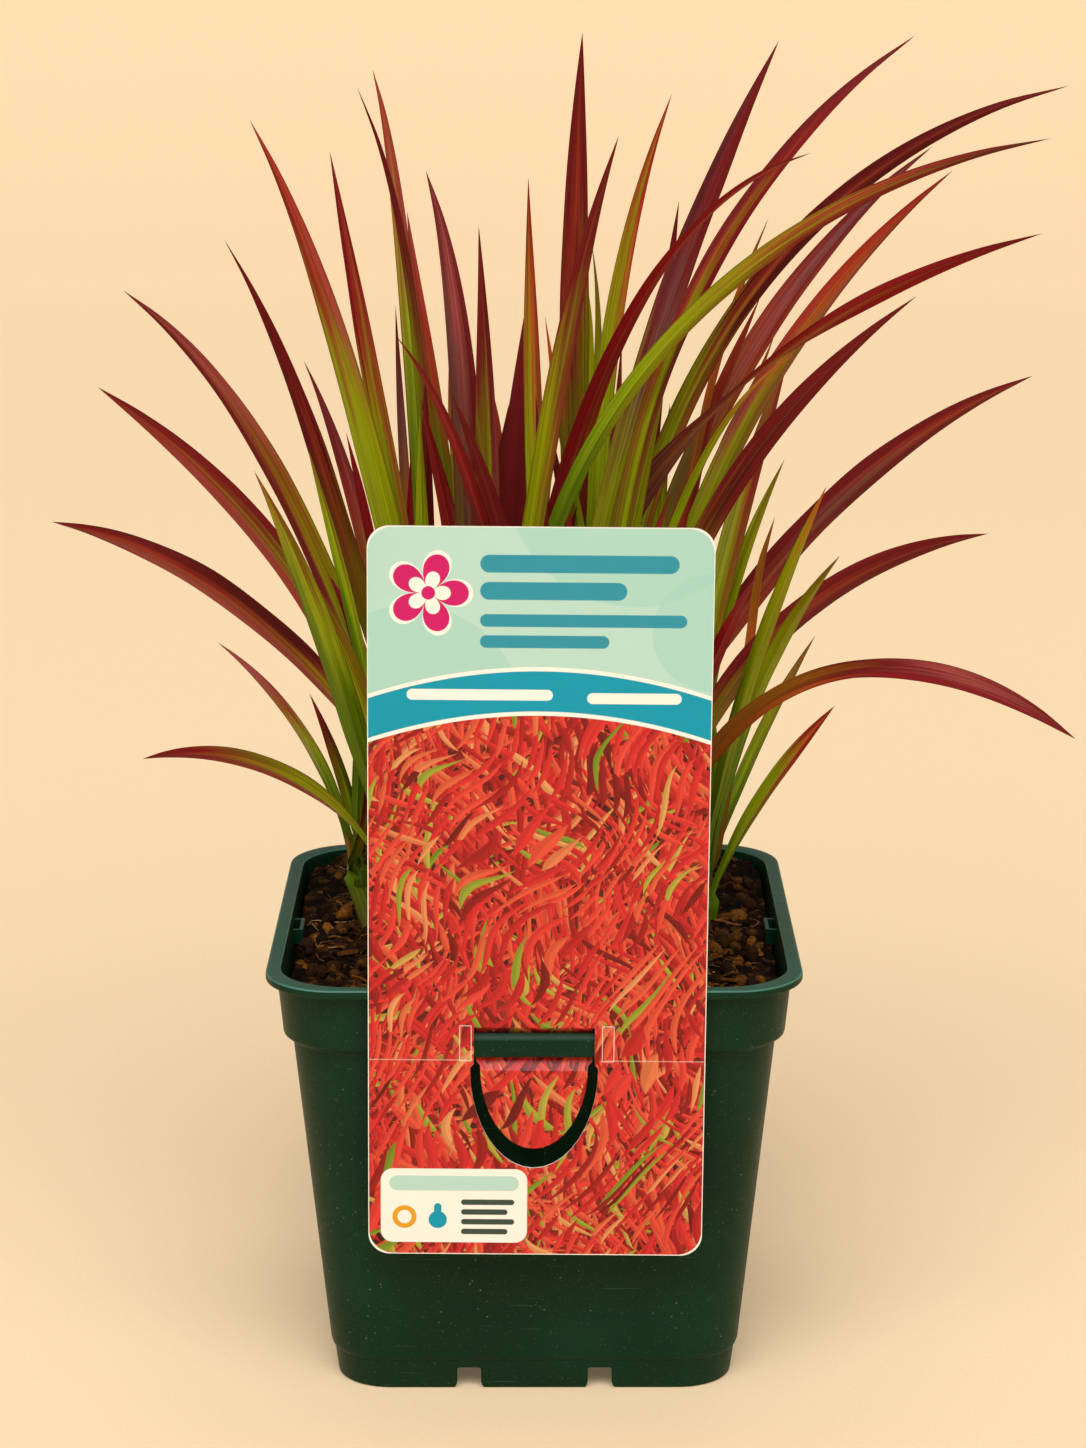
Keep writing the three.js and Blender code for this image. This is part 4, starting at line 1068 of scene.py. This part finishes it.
for key, (number, width, word, *spots) in SMALL.items():
    top = shoots[number][1]
    low = np.array(spots[-1], float)
    start = top + unit((low - top) * [1, 1, 0]) * SHOOT_RADIUS + [0, 0, 0.5]
    path = [start + (low - start) * t for t in (0, 0.12, 0.3, 0.5, 0.75)]
    path += [np.array(spot, float) for spot in spots[::-1]]
    knots, collar = blade_knots(shoots[number], path, width, 4, blunt=3.5)
    skin = leaf_skin(f"waxy_leaf_skin_s{key}", " ".join([word] * 3), marks_along(path)[-1],
                     width / 2, 100 + int(key))
    sweep_blade(f"small_blade_{key}", knots, collar, skin, seed=500 + int(key),
                thickness=0.35)
print(len(SMALL), "small blades")

# %% [markdown]
# The heart of the tuft is filled by young blades that never reach the light. They are green
# with a little red, and they lean out of each shoot by the same rule as the large ones.
# %% Young inner blades
def arched(start, heading, lean, droop, length, bend=1.5, steps=12):
    """Places along a blade that leans by `lean` degrees at its base and `droop` at its tip."""
    spots, place = [np.array(start, float)], np.array(start, float)
    for i in range(steps):
        tip_share = (i + 0.5) / steps
        angle = math.radians(lean + (droop - lean) * tip_share**bend)
        out = math.sin(angle)
        way = [out * math.cos(heading), out * math.sin(heading), math.cos(angle)]
        place = place + np.array(way) * length / steps
        spots.append(place)
    return spots


YOUNG_WORDS = ("DGGGLY", "GGGGLO", "GGGLYO", "DGGLLO", "GGGYBM", "GGOBMM")
YOUNG_ON_SHOOT = {1: 2, 2: 4, 3: 6, 4: 6, 5: 7, 6: 6, 7: 6, 8: 4, 9: 1}
dice = random.Random(77)
young_skins = {}
for number, count in YOUNG_ON_SHOOT.items():
    for k in range(count):
        heading = dice.uniform(0, 2 * math.pi)
        out = SHOOT_RADIUS * np.array([math.cos(heading), math.sin(heading), 0])
        start = shoots[number][1] + out + [0, 0, 0.4]
        tall = dice.uniform(75, 128) if 2 < number < 8 else dice.uniform(40, 70)
        path = arched(start, heading, dice.uniform(2, 12), dice.uniform(4, 24), tall)
        width = dice.uniform(3.0, 5.2)
        knots, collar = blade_knots(shoots[number], path, width, k % 5)
        word = dice.choice(YOUNG_WORDS)
        if (number, k) == (4, 4):
            continue  # this one would hide the dark blade before it
        made = len(young_skins)
        if word not in young_skins:
            young_skins[word] = leaf_skin(f"young_leaf_skin_{made}", " ".join([word] * 3),
                                          105, 2.0, 200 + made)
        sweep_blade(f"young_blade_{number}_{k}", knots, collar, young_skins[word],
                    seed=700 + 10 * number + k)
print(len(young_skins), "finishes for the young blades")

# %% [markdown]
# ## Label
# The label is a die-cut sheet of white plastic film, printed on its front. It keeps the packed
# mesh, because its shape is right, and gets its print from shapes that are worked out in nodes:
# a pale header, a band, and a picture made of many painted willow leaves.
# %% Shapes to print with
film, tree, shader = new_finish("offset_printed_film", IOR=1.5, Specular_IOR_Level=0.25)
place = add(tree, "TexCoord", out=3)
LABEL_LEAN = math.radians(0.5)
INK_EDGE = 0.06  # mm, half of the width over which ink fades out
across_up = add(tree, "Mapping", {"Vector": place, "Location": (0.2, 0, 0),
                                  "Rotation": (0, -LABEL_LEAN, 0), "Scale": (1000, 1000, 1000)})
right = add(tree, "SeparateXYZ", [across_up], out=0)
height = add(tree, "SeparateXYZ", [across_up], out=2)
plate = add(tree, "CombineXYZ", [right, height, 0.0])


def printed_bar(middle, half, corner):
    """Share of ink of a bar with round corners, in mm."""
    away = add(tree, "VectorMath", [plate, (*middle, 0)], operation="SUBTRACT")
    away = add(tree, "VectorMath", [away], operation="ABSOLUTE")
    inner = (half[0] - corner, half[1] - corner, 0)
    away = add(tree, "VectorMath", [away, inner], operation="SUBTRACT")
    away = add(tree, "VectorMath", [away, (0, 0, 0)], operation="MAXIMUM")
    reach = add(tree, "VectorMath", [away], out=1, operation="LENGTH")
    return add(tree, "MapRange", [reach, corner + INK_EDGE, corner - INK_EDGE])


def printed_flower(middle, radius):
    """Share of ink of a flower with five petals."""
    away = add(tree, "VectorMath", [plate, (*middle, 0)], operation="SUBTRACT")
    reach = add(tree, "VectorMath", [away], out=1, operation="LENGTH")
    split = add(tree, "SeparateXYZ", [away])
    turn = add(tree, "Math", [add(tree, "SeparateXYZ", [away], out=1), split], operation="ARCTAN2")
    turn = add(tree, "Math", [turn, 2.5], operation="MULTIPLY")
    lobe = add(tree, "Math", [add(tree, "Math", [turn], operation="COSINE")], operation="ABSOLUTE")
    lobe = add(tree, "Math", [lobe, 0.5], operation="POWER")
    edge = add(tree, "MapRange", [lobe, 0.0, 1.0, 0.22 * radius, radius])
    gap = add(tree, "Math", [reach, edge], operation="SUBTRACT")
    return add(tree, "MapRange", [gap, 0.08, -0.08])


def printed_leaves(turn, length, width, shift):
    """Share of ink, random number and lit half of each leaf in a layer of willow leaves."""
    # a slow noise bends the rows, so that no two leaves lie quite alike
    slow = add(tree, "VectorMath", {0: plate, 1: (shift * 9, 0, 0)}, operation="ADD")
    slow = add(tree, "TexNoise", {"Vector": slow, "Scale": 0.035, "Detail": 0.0}, out=1)
    slow = add(tree, "VectorMath", {0: slow, 3: 26.0}, operation="SCALE")
    bent = add(tree, "VectorMath", [plate, slow], operation="ADD")
    spot = add(tree, "Mapping", {"Vector": bent, "Location": (shift, shift * 0.7, 0),
                                 "Rotation": (0, 0, turn)})
    spot = add(tree, "VectorMath", [spot, (1 / length, 1 / width, 0)], operation="MULTIPLY")
    lot, centre = (add(tree, "TexVoronoi", {"Vector": spot, "Scale": 1.0, "Randomness": 0.9},
                       out=out, voronoi_dimensions="2D") for out in (1, 2))
    away = add(tree, "VectorMath", [spot, centre], operation="SUBTRACT")
    chance = add(tree, "SeparateColor", [lot])
    veer = add(tree, "SeparateColor", [lot], out=1)
    veer = add(tree, "MapRange", [veer, 0.0, 1.0, -0.16, 0.16])
    away = add(tree, "VectorRotate", {"Vector": away, "Angle": veer})
    run = add(tree, "SeparateXYZ", [away])
    off = add(tree, "SeparateXYZ", [away], out=1)
    square = add(tree, "Math", [run, run], operation="MULTIPLY")
    sweep_by = add(tree, "MapRange", [chance, 0.0, 1.0, -1.4, 1.4])
    bow = add(tree, "Math", [square, sweep_by], operation="MULTIPLY")
    off = add(tree, "Math", [off, bow], operation="SUBTRACT")
    belly = add(tree, "MapRange", [square, 0.0, 0.3, 0.3, 0.0])
    inside = add(tree, "Math", [off], operation="ABSOLUTE")
    inside = add(tree, "Math", [belly, inside], operation="SUBTRACT")
    ink = add(tree, "MapRange", [inside, 0.0, 0.05])
    lit = add(tree, "MapRange", [off, -0.04, 0.04])
    return ink, chance, lit


# %% The painted leaves
LEAF_INKS = [(0.0, "#6e1210"), (0.2, "#a81c1c"), (0.45, "#d02a2a"), (0.68, "#e04838"),
             (0.84, "#d85c3a"), (0.92, "#e09a62"), (0.96, "#a8a838"), (1.0, "#6f8c1e")]
LAYERS = [  # direction in radians, length, width and shift of the leaves, in mm
    (0.3, 9, 2.2, 3), (1.9, 10, 2.4, 17), (1.2, 12, 2.6, 31), (2.5, 11, 2.5, 47),
    (1.55, 15, 2.8, 59), (0.9, 13, 2.6, 71), (2.1, 14, 2.8, 83),
]
ground = add(tree, "TexNoise", {"Vector": plate, "Scale": 0.09, "Detail": 4.0})
picture = add(tree, "ValToRGB", [ground],
              stops=[(0.35, "#2a0d0a"), (0.5, "#5a1813"), (0.65, "#8e2a1c")])
for number, layer in enumerate(LAYERS):
    ink, chance, lit = printed_leaves(*layer)
    hue = add(tree, "ValToRGB", [chance], stops=LEAF_INKS)
    shade = add(tree, "MapRange", [lit, 0.0, 1.0, 0.62 + 0.03 * number, 1.0])
    hue = add(tree, "VectorMath", {0: hue, 3: shade}, operation="SCALE")
    picture = add(tree, "Mix", {0: ink, 6: picture, 7: hue}, **COLOR)
print(len(LAYERS), "layers of painted leaves")

# %% Header, band and panel
BULGE = 0.0042  # how much lower the band lies for each square mm off the middle, in mm
bulge = add(tree, "Math", [right, right], operation="MULTIPLY")
bulge = add(tree, "Math", [bulge, BULGE], operation="MULTIPLY")
level = add(tree, "Math", [height, bulge], operation="ADD")  # height over a gently curved line
WHITE, MINT, DEEP_MINT, TEAL, PINK = "#f6f4ec", "#b6dbd0", "#9fd2c6", "#0098b6", "#c9156a"
PALE_TEAL, SUN, SLATE = "#2d93a8", "#e0a020", "#3a4a44"
HEADER = 187.6  # mm above the ground
sheet_color = picture
for low, ink in ((176.0, WHITE), (177.0, TEAL), (186.6, WHITE), (HEADER, MINT)):
    share = add(tree, "MapRange", [level, low - INK_EDGE, low + INK_EDGE])
    sheet_color = add(tree, "Mix", {0: share, 6: sheet_color, 7: ink}, **COLOR)
in_header = add(tree, "MapRange", [level, HEADER, HEADER + 0.1])
for middle, radius in (((22, 232), 30), ((-30, 176), 26), ((40, 196), 14)):
    disc = printed_bar(middle, (radius, radius), radius)
    disc = add(tree, "Math", [disc, in_header], operation="MULTIPLY")
    disc = add(tree, "Math", [disc, 0.6], operation="MULTIPLY")
    sheet_color = add(tree, "Mix", {0: disc, 6: sheet_color, 7: DEEP_MINT}, **COLOR)
FLOWER = (-26, 205)
BARS = [  # middle, half size, corner radius and ink
    (FLOWER, (1.6, 1.6), 1.6, PINK),
    ((9, 212), (23, 2.1), 2.1, PALE_TEAL), ((3, 205.6), (17, 2.1), 2.1, PALE_TEAL),
    ((10, 198.6), (24, 1.5), 1.5, PALE_TEAL), ((1, 193.6), (15, 1.5), 1.5, PALE_TEAL),
    ((-14, 180.9), (17, 1.3), 1.3, WHITE), ((22, 180.2), (11, 1.3), 1.3, WHITE),
    # the white panel with plain care signs: sun, drop and bars
    ((-19.6, 54.5), (17.6, 9.4), 3.0, WHITE), ((-19.6, 60.2), (15.6, 1.9), 1.9, MINT),
    ((-31.5, 51.6), (2.9, 2.9), 2.9, SUN), ((-31.5, 51.6), (1.7, 1.7), 1.7, WHITE),
    ((-23.5, 50.9), (2.2, 2.2), 2.2, TEAL), ((-23.5, 53.2), (0.9, 1.9), 0.9, TEAL),
]
for k in range(4):
    shorter = 0.8 * (k % 2)
    BARS.append(((-11.5 - shorter, 55.4 - 2.5 * k), (6.4 - shorter, 0.7), 0.7, SLATE))
marks = [(printed_flower(FLOWER, radius), ink)
         for radius, ink in ((10.4, WHITE), (9.4, PINK), (5.2, WHITE))]
marks += [(printed_bar(*bar), ink) for *bar, ink in BARS]
for ink, color in marks:
    sheet_color = add(tree, "Mix", {0: ink, 6: sheet_color, 7: color}, **COLOR)
print(len(marks), "printed marks")

# %% Cuts, creases and the white core
TABS = (17.0, 95.6)  # mm to the side and above the ground
# the print stops 0.2 mm before the edge of the sheet
inside = printed_bar((0, 131.4), (40.0, 89.1), 5.8)
sheet_color = add(tree, "Mix", {0: inside, 6: WHITE, 7: sheet_color}, **COLOR)
for side in (-1, 1):
    outer_tab = printed_bar((side * TABS[0], TABS[1]), (1.5, 4.5), 0.3)
    inner_tab = printed_bar((side * TABS[0], TABS[1]), (1.25, 4.25), 0.2)
    line = add(tree, "Math", [outer_tab, inner_tab], operation="SUBTRACT")
    line = add(tree, "Math", [line, 0.5], operation="MULTIPLY")
    sheet_color = add(tree, "Mix", {0: line, 6: sheet_color, 7: WHITE}, **COLOR)
    crease = printed_bar((side * 28.5, 91.4), (12.0, 0.14), 0.1)
    crease = add(tree, "Math", [crease, 0.4], operation="MULTIPLY")
    sheet_color = add(tree, "Mix", {0: crease, 6: sheet_color, 7: "#f0d8c8"}, **COLOR)
facing = add(tree, "SeparateXYZ", [add(tree, "NewGeometry", out=1)], out=1)
core = add(tree, "MapRange", [facing, -0.35, -0.3])
sheet_color = add(tree, "Mix", {0: core, 6: sheet_color, 7: "#efece2"}, **COLOR)
# the film's skin: a faint unevenness of the varnish, about 1.5 mm
varnish = add(tree, "TexNoise", {"Vector": plate, "Scale": 0.7, "Detail": 2.0})
gloss = add(tree, "MapRange", [varnish, 0.3, 0.7, 0.3, 0.4])
relief = add(tree, "Bump", {"Strength": 0.06, "Distance": 0.0002, "Height": varnish})
feed(shader, Base_Color=sheet_color, Roughness=gloss, Normal=relief)
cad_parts["label"].data.materials.clear()
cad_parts["label"].data.materials.append(film)
print(len(tree.nodes), "nodes in the label's print")
